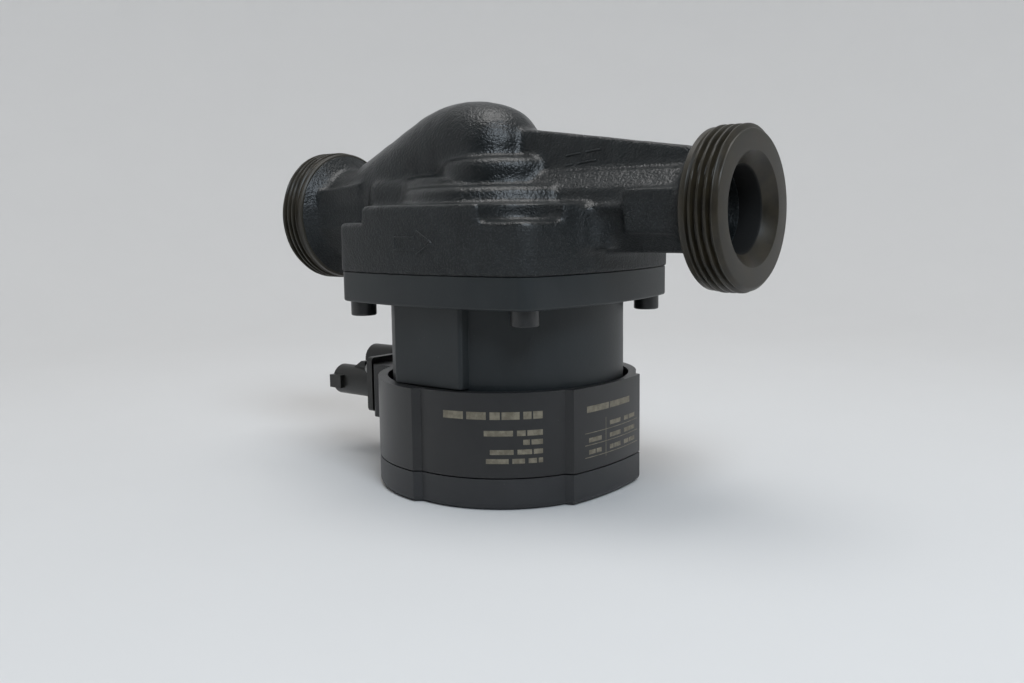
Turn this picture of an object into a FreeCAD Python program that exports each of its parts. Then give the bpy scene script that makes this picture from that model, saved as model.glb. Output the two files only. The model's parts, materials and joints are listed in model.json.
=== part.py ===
import FreeCAD, Part
import math
import os

V = FreeCAD.Vector
UP = V(0, 0, 1)

# Frame: Z is the motor axis, Z = 0 the flat face that the pump stands on.
# X is the pipe axis, and water flows towards +X.  All sizes are millimetres.

# --- pipe connections -------------------------------------------------------
FACE_TO_FACE = 180.0
PIPE_Z = 90.3
PORT_BORE_R = 12.5
PORT_BORE_DEPTH = 15.0
PORT_COUNTERSINK_DEPTH = 3.9
PORT_COUNTERSINK_R = PORT_BORE_R + PORT_COUNTERSINK_DEPTH
THREAD_MAJOR_R = 23.9
THREAD_PITCH = 2.309
THREAD_CRESTS = 4
THREAD_DEPTH = 1.35
THREAD_CREST_SHARE = 0.18
THREAD_RUNOUT_SHARE = 0.3
PORT_SHOULDER_R = THREAD_MAJOR_R - 0.5
PORT_FACE_R = THREAD_MAJOR_R - 1.6
SHOULDER_LENGTH = 1.2
FLARE_LENGTH = 5.0

# --- square flange, shared by the cast housing and the motor ----------------
BARREL_R = 39.4
BOLT_HEAD_R = 4.25
BOLT_HEAD_GAP = 4.857
BOLT_OFFSET = (BARREL_R + BOLT_HEAD_GAP + BOLT_HEAD_R) / math.sqrt(2)
FLANGE_SIDE = BOLT_OFFSET + 10.9
FLANGE_CORNER_R = 6.4
CAST_OVERSIZE = 0.4
MOTOR_FLANGE_Z = 61.8
JOINT_FACE_Z = 71.6
EAR_TOP_Z = 87.6
BLOCK_TOP_Z = 93.0
BLOCK_EDGE_R = 1.4
EAR_EDGE_R = 1.2
POCKET_X = BOLT_OFFSET + 1.7
POCKET_Y = BOLT_OFFSET + 3.2
POCKET_R = 12.8

# --- cast body above the flange ---------------------------------------------
RING_A_R = 34.6
RING_A_TOP_Z = 98.6
RING_B_R = 21.8
RING_B_TOP_Z = 108.0
RING_EDGE_R = 3.6
SCROLL_X = -11.0
SCROLL_Y = 8.0
SCROLL_R = 33.0
SCROLL_TOP_Z = 102.5
SADDLE_END_X = -49.0
SADDLE_HALF_WIDTH = 20.5
SADDLE_TOP_Z = 103.0
SADDLE_EDGE_R = 7.0
SUCTION_OUTER_R = 16.8
SUCTION_INNER_R = 10.6
SUCTION_SLOPE = 25.6
SUCTION_CREST_X = -14.0
SUCTION_CREST_Z = 111.3
SUCTION_BEND_R = 29.0
SUCTION_FIRST_BEND_R = 40.0
SUCTION_END_ANGLE = 18.5
RIB_TOP_START_Z = 117.0
RIB_TOP_END_Z = 107.6
RIB_HALF_TOP = 4.6
RIB_HALF_FOOT = 7.6
RIB_FOOT_Z = 95.0
RIB_START_X = 0.0
RIB_SLOPE_X = 13.0
NECK_START_X = 20.0
NECK_INSET = 10.0
NECK_HALF_WIDTH = 14.5
NECK_HALF_HEIGHT = 12.4
NECK_CHAMFER = 6.0
LEDGE_FACE_Y = 16.6
LEDGE_LOW_Z = 90.2
LEDGE_TOP_Z = 92.4
NECK_ROOT_R = 5.4
NECK_ROOT_LOW_Z = 79.0
NECK_ROOT_TOP_Z = 91.0
PAD_FACE_Y = 17.2
PAD_HALF_HEIGHT = 6.5
PAD_OUTLET_START_X = 57.0
PAD_INLET_START_X = 53.0
PAD_INLET_LIFT = 2.0
PAD_LIFT_TOP = 2.4
PAD_LIFT_LOW = 1.4
INLET_NECK_R = 15.8
INLET_NECK_END_X = -30.0
DUCT_HALF_WIDTH = 10.5
DUCT_HALF_HEIGHT = 8.2
DUCT_END_STEP = 1.5
RISER_X = 31.0
RISER_R = 8.5
RISER_FOOT = 3.0

# --- hydraulics --------------------------------------------------------------
IMPELLER_R = 27.0
IMPELLER_HUB_R = 5.6
IMPELLER_BACK_Z = 74.0
SHROUD_THICKNESS = 1.3
VANE_HEIGHT = 5.6
VANE_COUNT = 6
VANE_THICKNESS = 1.3
VANE_INNER_R = 11.2
VANE_SWEEP = 62.0
VANE_TIP_INSET = 0.3
VANE_MIDDLE_SHARE = 0.42
VANE_ROOT_LEAD = 7.69
EYE_COLLAR_R = 13.0
EYE_COLLAR_WALL = 1.3
EYE_COLLAR_TOP_Z = 88.0
EYE_CLEARANCE = 0.3
NECK_RING_WALL = 1.4
NECK_RING_Z = 84.2
NECK_RING_LENGTH = 5.0
CHAMBER_GAP = 1.2
EYE_BORE_LENGTH = 12.0
VOLUTE_START_R = IMPELLER_R + 2.5
VOLUTE_END_R = IMPELLER_R + 10.4
VOLUTE_STEPS = 16
VOLUTE_TOP_Z = 85.6
GASKET_TOP_Z = 73.0

# --- motor -------------------------------------------------------------------
BARREL_BOTTOM_Z = 30.0
BARREL_FLOOR = 3.4
BARREL_EDGE = 0.6
FLANGE_EDGE_R = 0.8
STATOR_R = BARREL_R - 5.4
STATOR_BOTTOM_Z = 40.0
STATOR_STACK = 18.0
STATOR_TEETH = 6
TOOTH_HALF_WIDTH = 4.6
TOOTH_SHOE_DEPTH = 2.2
TOOTH_OVERLAP = 0.5
SLOT_HALF_WIDTH = 1.0
STATOR_CAN_GAP = 0.2
YOKE_THICKNESS = 5.0
BOBBIN_THICKNESS = 1.2
BOBBIN_INSET = 1.5
COIL_SIDE = 3.0
COIL_END = 3.8
COIL_EDGE_R = 2.4
COIL_GAP = 0.4
MOTOR_PAD_FACE_Y = BARREL_R + 1.2
MOTOR_PAD_FOOT = 0.4
MOTOR_PAD_HALF_WIDTH = 14.3
MOTOR_PAD_EDGE_R = 1.2
CAN_INNER_R = 17.4
CAN_WALL = 0.6
CAN_FLANGE_R = BARREL_R - 4.0
CAN_KNEE = 0.6
CAN_FLANGE_Z = 69.4
CAN_BOTTOM_Z = 34.4
ROTOR_GAP = 0.6
ROTOR_BOTTOM_Z = 41.2
ROTOR_LENGTH = 17.0
SLEEVE_WALL = 0.5
MAGNET_THICKNESS = 4.0
MAGNET_COUNT = 4
MAGNET_GAP_ANGLE = 6.0
END_RING_THICKNESS = 1.2
SHAFT_R = 4.0
SHAFT_BOTTOM_Z = 35.6
SHAFT_TOP_Z = 82.0
SHAFT_CHAMFER = 0.4
BEARING_CLEARANCE = 0.04
BEARING_OUTER_R = 8.0
REAR_BEARING_LENGTH = 4.6
FRONT_BEARING_LENGTH = 7.0
FRONT_BEARING_Z = 64.2
THRUST_RING_R = 7.4
THRUST_RING_THICKNESS = 1.6
THRUST_CUSHION_THICKNESS = 1.4
THRUST_CUSHION_STEP = 0.6
AXIAL_PLAY = 0.3
PLATE_THICKNESS = 1.6
PLATE_HUB_WALL = 1.5
PLATE_SHAFT_GAP = 1.0
PLATE_HOLE_R = 1.2
PLATE_HOLE_COUNT = 3
GASKET_WIDTH = 3.6
SEAT_GAP = 0.1

# --- fasteners ---------------------------------------------------------------
BOLT_R = 2.45
BOLT_HOLE_R = 2.75
BOLT_TAP_R = 2.5
BOLT_HEAD_HEIGHT = 5.0
BOLT_HEAD_EDGE_R = 0.6
BOLT_SOCKET_AF = 4.0
BOLT_SOCKET_DEPTH = 2.6
BOLT_REACH = 10.5
TAP_SPARE = 1.8
SMALL_SCREW_R = 1.4
SMALL_TAP_R = 1.45
SMALL_HOLE_R = 1.6
SMALL_HEAD_R = 2.7
SMALL_HEAD_HEIGHT = 1.8
SMALL_SLOT_R = 1.5
SMALL_SLOT_DEPTH = 0.9
SMALL_SLOT_HALF_WIDTH = 0.35
SMALL_HEAD_EDGE_R = 0.5
DECK_SCREW_BITE = 7.0
DECK_TAP_DEPTH = 9.0

# --- control box ---------------------------------------------------------------
BOX_TOP_Z = 36.4
SEAM_Z = 10.0
SEAM_GAP = 0.4
DECK_THICKNESS = 3.0
RIM_INNER_R = BARREL_R + 1.8
BOX_INNER_R = RIM_INNER_R - 0.4
RIB_R = BOX_INNER_R + 4.5
PANEL_EDGE_R = RIB_R - 2.0
PANEL_CREST_R = RIB_R - 0.7
SIDE_CREST_R = RIB_R - 2.4
BACK_CREST_R = RIB_R - 1.3
BACK_SHOULDER_R = RIB_R - 0.85
BACK_SHOULDER_ANGLE = -40.0
RIB_FRONT_ANGLE = -3.0
RIB_SIDE_ANGLE = 65.0
RIB_STEP_ANGLE = 2.6
COVER_FLOOR = 2.4
COVER_EDGE_R = 2.2
COVER_TONGUE = 3.0
COVER_TONGUE_WALL = 1.6
TONGUE_CLEARANCE = 0.15
COVER_SCREW_CIRCLE_R = BOX_INNER_R - 6.3
COVER_SCREW_ANGLE = 20.0
COVER_BOSS_R = 4.2
COVER_BOSS_RISE = 0.5
COVER_BOSS_FOOT = 0.8
COVER_SCREW_RECESS = 1.2
COVER_SCREW_WELL_GAP = 0.4
COVER_TAP_SPARE = 2.0
COVER_TIP_SPARE = 4.0
DECK_SCREW_CIRCLE_R = BARREL_R - 2.8
SEAL_GAP = 0.1
COVER_SEAL_WIDTH = 1.3
MOTOR_SEAL_HEIGHT = 1.8

# --- electronics ----------------------------------------------------------------
MAIN_BOARD_R = BOX_INNER_R - 11.8
MAIN_BOARD_Z = 17.6
BOARD_THICKNESS = 1.6
DISPLAY_BOARD_Z = 6.6
DISPLAY_BOARD_THICKNESS = 1.2
DISPLAY_BOARD_LENGTH = 40.0
DISPLAY_BOARD_WIDTH = 32.0
DISPLAY_BOARD_CORNER_R = 4.0
PILLAR_INSET = 4.0
DISPLAY_PILLAR_R = 1.8
MAIN_PILLAR_R = 2.2
BUTTON_Y = -8.5
BUTTON_R = 4.5
BUTTON_CLEARANCE = 0.3
BUTTON_RECESS = 0.6
BUTTON_TRAVEL = 0.5
BUTTON_EDGE_R = 0.5
BUTTON_COLLAR = 1.2
BUTTON_COLLAR_GAP = 0.3
BUTTON_COLLAR_THICKNESS = 0.6
BUTTON_STEM_R = 1.6
PLUNGER_R = 1.2
PLUNGER_LENGTH = 1.6
PLUNGER_PLAY = 0.3
SWITCH_HALF_SIDE = 3.0
WINDOW_Y = 10.0
WINDOW_LENGTH = 16.0
WINDOW_WIDTH = 7.0
WINDOW_CORNER_R = 1.5
WINDOW_RECESS = 0.4
LED_COUNT = 5
LED_PITCH = 2.8
LED_SIDE = 1.9
LED_HEIGHT = 1.4
TERMINAL_Y = 22.0
TERMINAL_PITCH = 5.0
TERMINAL_PIN_R = 0.7
TERMINAL_HOLE_R = 0.9
TERMINAL_RISE = 1.2
TERMINAL_DROP = 1.0
TERMINAL_SLOT_LENGTH = 16.0
TERMINAL_SLOT_WIDTH = 4.8
TERMINAL_SLOT_CORNER_R = 1.6
HEAT_BLOCK_LENGTH = 18.0
HEAT_BLOCK_WIDTH = 14.0
HEAT_BLOCK_Y = -15.0
HEAT_BLOCK_CORNER_R = 1.5
HEAT_BLOCK_GAP = 0.3
HEAT_BLOCK_DROP = 2.0
HEAT_PAD_THICKNESS = 1.0
MODULE_INSET = 1.0
CAPACITOR_R = 4.6
CAPACITOR_LENGTH = 22.0
CAPACITOR_X = -11.0
CAPACITOR_END_Y = -8.0
CRIMP_PLACE = 2.4
CRIMP_WIDTH = 1.0
CRIMP_DEPTH = 0.5
CHOKE_X = 12.0
CHOKE_Y = 6.0
CHOKE_OUTER_R = 7.0
CHOKE_INNER_R = 4.0
CHOKE_HEIGHT = 4.8
CHOKE_WIRE = 1.0
CHOKE_WIRE_WIDTH = 1.5
CHOKE_WIRE_GAP = 0.1
CHOKE_TURNS = 6
CHOKE_TURN_ANGLE = 20.0
FILM_CAPACITOR_X = 2.5
FILM_CAPACITOR_Y = -21.5
FILM_CAPACITOR_LENGTH = 13.0
FILM_CAPACITOR_WIDTH = 9.0
FILM_CAPACITOR_HEIGHT = 9.5
FILM_CAPACITOR_EDGE_R = 0.8

# --- plug sockets on the -X side ---------------------------------------------------
SOCKET_R = 5.65
SOCKET_BORE_R = 4.5
SOCKET_WELL_R = 4.3
SOCKET_MOUTH_DEPTH = 8.8
SOCKET_PLATE_X = -BACK_CREST_R - 7.5
SOCKET_END_X = SOCKET_PLATE_X - 23.5
SOCKET_FLOOR_X = SOCKET_PLATE_X - 5.5
SOCKET_PLATE_THICKNESS = 2.6
SOCKET_PLATE_LOW_Y = -15.5
SOCKET_PLATE_HIGH_Y = 16.5
SOCKET_PLATE_LOW_Z = 18.6
SOCKET_PLATE_TOP_Z = 38.6
SOCKET_PLATE_CORNER_R = 1.6
SOCKET_BOSS_LOW_Z = 17.0
SOCKET_BOSS_DEPTH = 4.0
SOCKET_WINDOW_LOW_Y = -12.0
SOCKET_WINDOW_HIGH_Y = 13.0
SOCKET_WINDOW_LOW_Z = 19.0
SOCKET_WINDOW_TOP_Z = 26.0
SOCKET_WINDOW_GAP = 0.15
SOCKET_PLUG_DEPTH = 3.0
POWER_SOCKET_Y = -8.0
POWER_SOCKET_Z = 28.0
SIGNAL_SOCKET_Y = 9.0
SIGNAL_SOCKET_Z = 34.0
SOCKET_SHELF_Z = 34.4
SOCKET_SHELF_THICKNESS = 2.6
SOCKET_SHELF_LENGTH = 10.5
SOCKET_SCREWS = ((-13.4, 34.2), (14.2, 21.0))
SOCKET_SCREW_R = 1.0
SOCKET_SCREW_TAP_R = 1.05
SOCKET_SCREW_HOLE_R = 1.2
SOCKET_SCREW_HEAD_R = 1.9
SOCKET_SCREW_HEAD_HEIGHT = 1.2
SOCKET_SCREW_BITE = 5.0
SOCKET_SCREW_SPARE = 0.5
SOCKET_SCREW_SLOT_DEPTH = 0.6
SOCKET_SCREW_SLOT_HALF_WIDTH = 0.3
SOCKET_SCREW_SLOT_REACH = 1.3
RAMP_START = 6.0
RAMP_LENGTH = 6.0
RAMP_LAND = 2.0
RAMP_RISE = 2.2
RAMP_SINK = 1.6
RAMP_HALF_WIDTH = 2.0
KEY_LENGTH = 6.0
KEY_RISE = 1.6
KEY_SINK = 3.0
KEY_HALF_WIDTH = 2.4
PIN_R = 0.75
PIN_LENGTH = 9.0
PIN_CHAMFER = 0.25
POWER_PIN_CIRCLE_R = 2.2
SIGNAL_PIN_PITCH = 3.2

HALF_LENGTH = FACE_TO_FACE / 2
DECK_TOP_Z = BARREL_BOTTOM_Z
DECK_BOTTOM_Z = DECK_TOP_Z - DECK_THICKNESS


def cylinder(radius, z_low, z_high, x=0.0, y=0.0):
    return Part.makeCylinder(radius, z_high - z_low, V(x, y, z_low), UP)


def tube(outer_r, inner_r, z_low, z_high, x=0.0, y=0.0):
    return cylinder(outer_r, z_low, z_high, x, y).cut(cylinder(inner_r, z_low, z_high, x, y))


def pipe_along_x(radius, x_low, x_high, y, z):
    return Part.makeCylinder(radius, x_high - x_low, V(x_low, y, z), V(1, 0, 0))


def block(x_low, x_high, y_low, y_high, z_low, z_high):
    return Part.makeBox(x_high - x_low, y_high - y_low, z_high - z_low, V(x_low, y_low, z_low))


def polar(radius, angle_deg, z=0.0):
    angle = math.radians(angle_deg)
    return V(radius * math.cos(angle), radius * math.sin(angle), z)


def extrude(edges, height):
    return Part.Face(Part.Wire(edges)).extrude(V(0, 0, height))


def revolve(points, axis=UP):
    """Solid of revolution about an axis through the origin, from a closed outline."""
    face = Part.Face(Part.makePolygon(points + [points[0]]))
    return face.revolve(V(0, 0, 0), axis, 360)


def upright_edges(shape):
    found = []
    for edge in shape.Edges:
        low, high = edge.Vertexes[0].Point, edge.Vertexes[-1].Point
        if abs(low.x - high.x) < 1e-6 and abs(low.y - high.y) < 1e-6 and len(edge.Vertexes) == 2:
            found.append(edge)
    return found


def edges_at_z(shape, z):
    return [e for e in shape.Edges if abs(e.BoundBox.ZMin - z) < 1e-5 and abs(e.BoundBox.ZMax - z) < 1e-5]


def rounded_disc(radius, z_low, z_high, edge_r, x=0.0, y=0.0):
    disc = cylinder(radius, z_low, z_high, x, y)
    return disc.makeFillet(edge_r, edges_at_z(disc, z_high))


def rounded_block(x_low, x_high, y_low, y_high, z_low, z_high, edge_r):
    solid = block(x_low, x_high, y_low, y_high, z_low, z_high)
    return solid.makeFillet(edge_r, upright_edges(solid))


def bolt_places():
    return [(sx * BOLT_OFFSET, sy * BOLT_OFFSET) for sx in (-1, 1) for sy in (-1, 1)]


def ring_places(radius, count=4, start=45.0):
    return [polar(radius, start + i * 360.0 / count) for i in range(count)]


def flange_outline(extra, z):
    """Square with four bulging sides, each an arc tangent to the round corners."""
    corner_r = FLANGE_CORNER_R + extra
    reach = FLANGE_SIDE + extra - BOLT_OFFSET
    side_r = (BOLT_OFFSET ** 2 + reach ** 2 - corner_r ** 2) / (2 * (reach - corner_r))
    centre = FLANGE_SIDE + extra - side_r
    lean = math.degrees(math.atan2(BOLT_OFFSET, BOLT_OFFSET - centre))
    edges = []
    for quarter in range(4):
        turn = 90.0 * quarter
        middle = polar(centre, turn, z)
        corner = polar(BOLT_OFFSET * math.sqrt(2), turn + 45, z)
        side = [middle + polar(side_r, turn + a) for a in (-lean, 0, lean)]
        bend = [corner + polar(corner_r, turn + a) for a in (lean, 45, 90 - lean)]
        edges.append(Part.Arc(*side).toShape())
        edges.append(Part.Arc(*bend).toShape())
    return edges


def port_outside(side):
    """Threaded port with its shoulder and the flare that runs into the neck."""
    thread_length = THREAD_CRESTS * THREAD_PITCH
    face = HALF_LENGTH
    root = THREAD_MAJOR_R - THREAD_DEPTH
    crest = THREAD_PITCH * THREAD_CREST_SHARE / 2
    points = [V(face, 0, 0), V(face, 0, PORT_FACE_R)]
    for i in range(THREAD_CRESTS):
        middle = face - (i + 0.5) * THREAD_PITCH
        points.append(V(middle + crest, 0, THREAD_MAJOR_R))
        points.append(V(middle - crest, 0, THREAD_MAJOR_R))
        points.append(V(middle - THREAD_PITCH / 2, 0, root))
    shoulder = face - thread_length - THREAD_PITCH * THREAD_RUNOUT_SHARE
    points.append(V(shoulder, 0, PORT_SHOULDER_R))
    points.append(V(shoulder - SHOULDER_LENGTH, 0, PORT_SHOULDER_R))
    points.append(V(shoulder - SHOULDER_LENGTH - FLARE_LENGTH, 0, INLET_NECK_R))
    points.append(V(shoulder - SHOULDER_LENGTH - FLARE_LENGTH, 0, 0))
    solid = revolve(points, V(1, 0, 0))
    solid.translate(V(0, 0, PIPE_Z))
    return solid if side > 0 else solid.mirror(V(0, 0, 0), V(1, 0, 0))


def port_inside(side):
    face = HALF_LENGTH
    bore = pipe_along_x(PORT_BORE_R, face - PORT_BORE_DEPTH, face, 0, PIPE_Z)
    sink = Part.makeCone(PORT_BORE_R, PORT_COUNTERSINK_R, PORT_COUNTERSINK_DEPTH,
                         V(face - PORT_COUNTERSINK_DEPTH, 0, PIPE_Z), V(1, 0, 0))
    solid = bore.fuse(sink)
    return solid if side > 0 else solid.mirror(V(0, 0, 0), V(1, 0, 0))


def suction_path():
    """Centre line from the inlet port over the volute to the impeller eye, as lines and arcs."""
    slope = math.radians(SUCTION_SLOPE)
    crest_centre = V(SUCTION_CREST_X, 0, SUCTION_CREST_Z - SUCTION_BEND_R)

    def on_crest(angle):
        return crest_centre + V(math.sin(angle), 0, math.cos(angle)) * SUCTION_BEND_R

    rise_end = on_crest(-slope)
    crest_end = on_crest(math.radians(SUCTION_END_ANGLE))
    run = (rise_end.z - PIPE_Z) / math.tan(slope)
    corner = V(rise_end.x - run, 0, PIPE_Z)
    set_back = SUCTION_FIRST_BEND_R * math.tan(slope / 2)
    level_end = corner - V(set_back, 0, 0)
    rise_start = corner + V(math.cos(slope), 0, math.sin(slope)) * set_back
    bend_centre = level_end + V(0, 0, SUCTION_FIRST_BEND_R)
    bend_middle = bend_centre + V(math.sin(slope / 2), 0, -math.cos(slope / 2)) * SUCTION_FIRST_BEND_R
    start = V(-HALF_LENGTH + PORT_BORE_DEPTH / 2, 0, PIPE_Z)
    edges = [
        Part.LineSegment(start, level_end).toShape(),
        Part.Arc(level_end, bend_middle, rise_start).toShape(),
        Part.LineSegment(rise_start, rise_end).toShape(),
        Part.Arc(rise_end, on_crest(0), crest_end).toShape(),
    ]
    return Part.Wire(edges), start, crest_end


def suction_tube(radius):
    path, start, end = suction_path()
    section = Part.Wire(Part.makeCircle(radius, start, V(1, 0, 0)))
    swept = path.makePipeShell([section], True, True)
    knee = Part.makeSphere(radius, end)
    drop = cylinder(radius, EYE_COLLAR_TOP_Z, end.z, end.x, 0)
    return swept.fuse([knee, drop])


def rib():
    """Tapered rib from the suction dome along the top of the outlet neck."""
    end_x = HALF_LENGTH - THREAD_CRESTS * THREAD_PITCH - SHOULDER_LENGTH
    drop = (RIB_TOP_START_Z - RIB_TOP_END_Z) / (end_x - RIB_SLOPE_X)
    start_z = RIB_TOP_START_Z + drop * (RIB_SLOPE_X - RIB_START_X)

    def section(x, top):
        half_low, half_high = RIB_HALF_FOOT, RIB_HALF_TOP
        corners = [V(x, -half_low, RIB_FOOT_Z), V(x, half_low, RIB_FOOT_Z),
                   V(x, half_high, top), V(x, -half_high, top)]
        return Part.makePolygon(corners + [corners[0]])

    return Part.makeLoft([section(RIB_START_X, start_z), section(end_x, RIB_TOP_END_Z)], True, True)


def chamfered_neck(x_low, x_high, half_width, half_height, chamfer):
    w, h, c = half_width, half_height, chamfer
    corners = [(-w, -h + c), (-w, h - c), (-w + c, h), (w - c, h),
               (w, h - c), (w, -h + c), (w - c, -h), (-w + c, -h)]
    points = [V(x_low, y, PIPE_Z + z) for y, z in corners]
    return Part.Face(Part.makePolygon(points + [points[0]])).extrude(V(x_high - x_low, 0, 0))


def flat_pads(start_x, end_x, lift):
    """Pair of spanner flats on the sides of a neck; lift raises their inner end."""
    top, low = PIPE_Z + PAD_HALF_HEIGHT, PIPE_Z - PAD_HALF_HEIGHT
    corners = [V(end_x, -PAD_FACE_Y, low), V(end_x, -PAD_FACE_Y, top + lift),
               V(start_x, -PAD_FACE_Y, top + PAD_LIFT_TOP * lift),
               V(start_x, -PAD_FACE_Y, low + PAD_LIFT_LOW * lift)]
    return Part.Face(Part.makePolygon(corners + [corners[0]])).extrude(V(0, 2 * PAD_FACE_Y, 0))


def volute():
    """Spiral channel that widens round the impeller up to the outlet riser."""
    points = []
    for i in range(VOLUTE_STEPS + 1):
        share = i / VOLUTE_STEPS
        radius = VOLUTE_START_R + (VOLUTE_END_R - VOLUTE_START_R) * share
        points.append(polar(radius, 360.0 * share, GASKET_TOP_Z))
    spiral = Part.BSplineCurve()
    spiral.interpolate(points)
    edges = [spiral.toShape(), Part.makeLine(points[-1], points[0])]
    return extrude(edges, VOLUTE_TOP_Z - GASKET_TOP_Z)


def outlet_duct():
    """Oval duct from the riser to the outlet bore."""
    inner_end = HALF_LENGTH - PORT_BORE_DEPTH
    oval = Part.Ellipse(V(RISER_X, DUCT_HALF_WIDTH, PIPE_Z), V(RISER_X, 0, PIPE_Z + DUCT_HALF_HEIGHT),
                        V(RISER_X, 0, PIPE_Z)).toShape()
    ring = Part.makeCircle(PORT_BORE_R - DUCT_END_STEP, V(inner_end, 0, PIPE_Z), V(1, 0, 0))
    duct = Part.makeLoft([Part.Wire(oval), Part.Wire(ring)], True, True)
    riser = cylinder(RISER_R, GASKET_TOP_Z + RISER_FOOT, PIPE_Z, RISER_X, 0)
    return duct.fuse([riser, Part.makeSphere(RISER_R, V(RISER_X, 0, PIPE_Z))])


def impeller_front_z():
    return IMPELLER_BACK_Z + 2 * SHROUD_THICKNESS + VANE_HEIGHT


def neck_ring_outer_r():
    return EYE_COLLAR_R + EYE_CLEARANCE + NECK_RING_WALL


def gasket_outer_r():
    return CAN_FLANGE_R


def plate_r():
    return gasket_outer_r() - GASKET_WIDTH


def neck_roots():
    """Concave corner between the flange wall and each side of the outlet neck, under a narrow ledge."""
    wall_x = FLANGE_SIDE + CAST_OVERSIZE
    inner_x = wall_x - NECK_ROOT_R
    reach = NECK_HALF_WIDTH + NECK_ROOT_R
    corner = block(inner_x, wall_x + NECK_ROOT_R, -reach, reach, NECK_ROOT_LOW_Z, NECK_ROOT_TOP_Z)
    for side in (-1, 1):
        corner = corner.cut(cylinder(NECK_ROOT_R, NECK_ROOT_LOW_Z, NECK_ROOT_TOP_Z,
                                     wall_x + NECK_ROOT_R, side * reach))
    ledge = block(inner_x, PAD_OUTLET_START_X + 1, -LEDGE_FACE_Y, LEDGE_FACE_Y, LEDGE_LOW_Z, LEDGE_TOP_Z)
    return corner.fuse(ledge)


def cast_housing():
    """The whole casting: flange, volute block, suction dome, rib, necks and threaded ports."""
    flange = extrude(flange_outline(CAST_OVERSIZE, JOINT_FACE_Z), EAR_TOP_Z - JOINT_FACE_Z)
    upper = extrude(flange_outline(CAST_OVERSIZE, EAR_TOP_Z), BLOCK_TOP_Z - EAR_TOP_Z)
    upper = upper.makeFillet(BLOCK_EDGE_R, edges_at_z(upper, BLOCK_TOP_Z))
    for sx in (-1, 1):
        for sy in (-1, 1):
            upper = upper.cut(cylinder(POCKET_R, EAR_TOP_Z, BLOCK_TOP_Z, sx * POCKET_X, sy * POCKET_Y))
    flange = flange.makeFillet(EAR_EDGE_R, edges_at_z(flange, EAR_TOP_Z))
    ring_a = rounded_disc(RING_A_R, EAR_TOP_Z - 2, RING_A_TOP_Z, RING_EDGE_R)
    ring_b = rounded_disc(RING_B_R, EAR_TOP_Z, RING_B_TOP_Z, RING_EDGE_R)
    scroll = rounded_disc(SCROLL_R, EAR_TOP_Z - 2, SCROLL_TOP_Z, RING_EDGE_R, SCROLL_X, SCROLL_Y)
    saddle = rounded_block(SADDLE_END_X, 0, -SADDLE_HALF_WIDTH, SADDLE_HALF_WIDTH,
                           EAR_TOP_Z - 8, SADDLE_TOP_Z, SADDLE_EDGE_R)
    saddle = saddle.makeFillet(SADDLE_EDGE_R - 1, edges_at_z(saddle, SADDLE_TOP_Z))
    outlet_neck = chamfered_neck(NECK_START_X, HALF_LENGTH - NECK_INSET,
                                 NECK_HALF_WIDTH, NECK_HALF_HEIGHT, NECK_CHAMFER)
    inlet_neck = pipe_along_x(INLET_NECK_R, -HALF_LENGTH + NECK_INSET, INLET_NECK_END_X, 0, PIPE_Z)
    outlet_pads = flat_pads(PAD_OUTLET_START_X, HALF_LENGTH - NECK_INSET, 0.0)
    inlet_pads = flat_pads(-PAD_INLET_START_X, -HALF_LENGTH + NECK_INSET, PAD_INLET_LIFT)
    solid = flange.fuse([upper, ring_a, ring_b, scroll, saddle, suction_tube(SUCTION_OUTER_R), rib(),
                         outlet_neck, neck_roots(), inlet_neck, outlet_pads, inlet_pads,
                         port_outside(1), port_outside(-1)])

    chamber_top = impeller_front_z() + CHAMBER_GAP
    ring_seat_top = NECK_RING_Z + NECK_RING_LENGTH
    eye_r = EYE_COLLAR_R - EYE_COLLAR_WALL
    hollows = [
        port_inside(1),
        port_inside(-1),
        suction_tube(SUCTION_INNER_R),
        outlet_duct(),
        volute().cut(cylinder(VOLUTE_START_R, chamber_top, VOLUTE_TOP_Z + 1)),
        cylinder(VOLUTE_START_R, JOINT_FACE_Z, chamber_top),
        cylinder(neck_ring_outer_r(), chamber_top, ring_seat_top),
        cylinder(eye_r, ring_seat_top, ring_seat_top + EYE_BORE_LENGTH),
        cylinder(gasket_outer_r() + SEAT_GAP, JOINT_FACE_Z, GASKET_TOP_Z),
    ]
    for x, y in bolt_places():
        hollows.append(cylinder(BOLT_TAP_R, JOINT_FACE_Z, JOINT_FACE_Z + BOLT_REACH + TAP_SPARE, x, y))
    solid = solid.cut(hollows[0].fuse(hollows[1:4]))
    for hollow in hollows[4:]:
        solid = solid.cut(hollow)
    return solid


def port_zone(side):
    """Space outside the inner end of a port's bore, where the port is split off as its own node."""
    inner, outer = HALF_LENGTH - PORT_BORE_DEPTH, HALF_LENGTH + 1
    zone = block(inner, outer, -outer, outer, 0, 2 * PIPE_Z)
    return zone if side > 0 else zone.mirror(V(0, 0, 0), V(1, 0, 0))


def pump_housing():
    return cast_housing().cut([port_zone(1), port_zone(-1)])


def inlet_port():
    return cast_housing().common(port_zone(-1))


def outlet_port():
    return cast_housing().common(port_zone(1))


def neck_ring():
    inner = EYE_COLLAR_R + EYE_CLEARANCE
    return tube(neck_ring_outer_r(), inner, NECK_RING_Z, NECK_RING_Z + NECK_RING_LENGTH)


def housing_gasket():
    low = CAN_FLANGE_Z + CAN_WALL
    return tube(gasket_outer_r(), plate_r() + SEAT_GAP, low, GASKET_TOP_Z)


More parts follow.
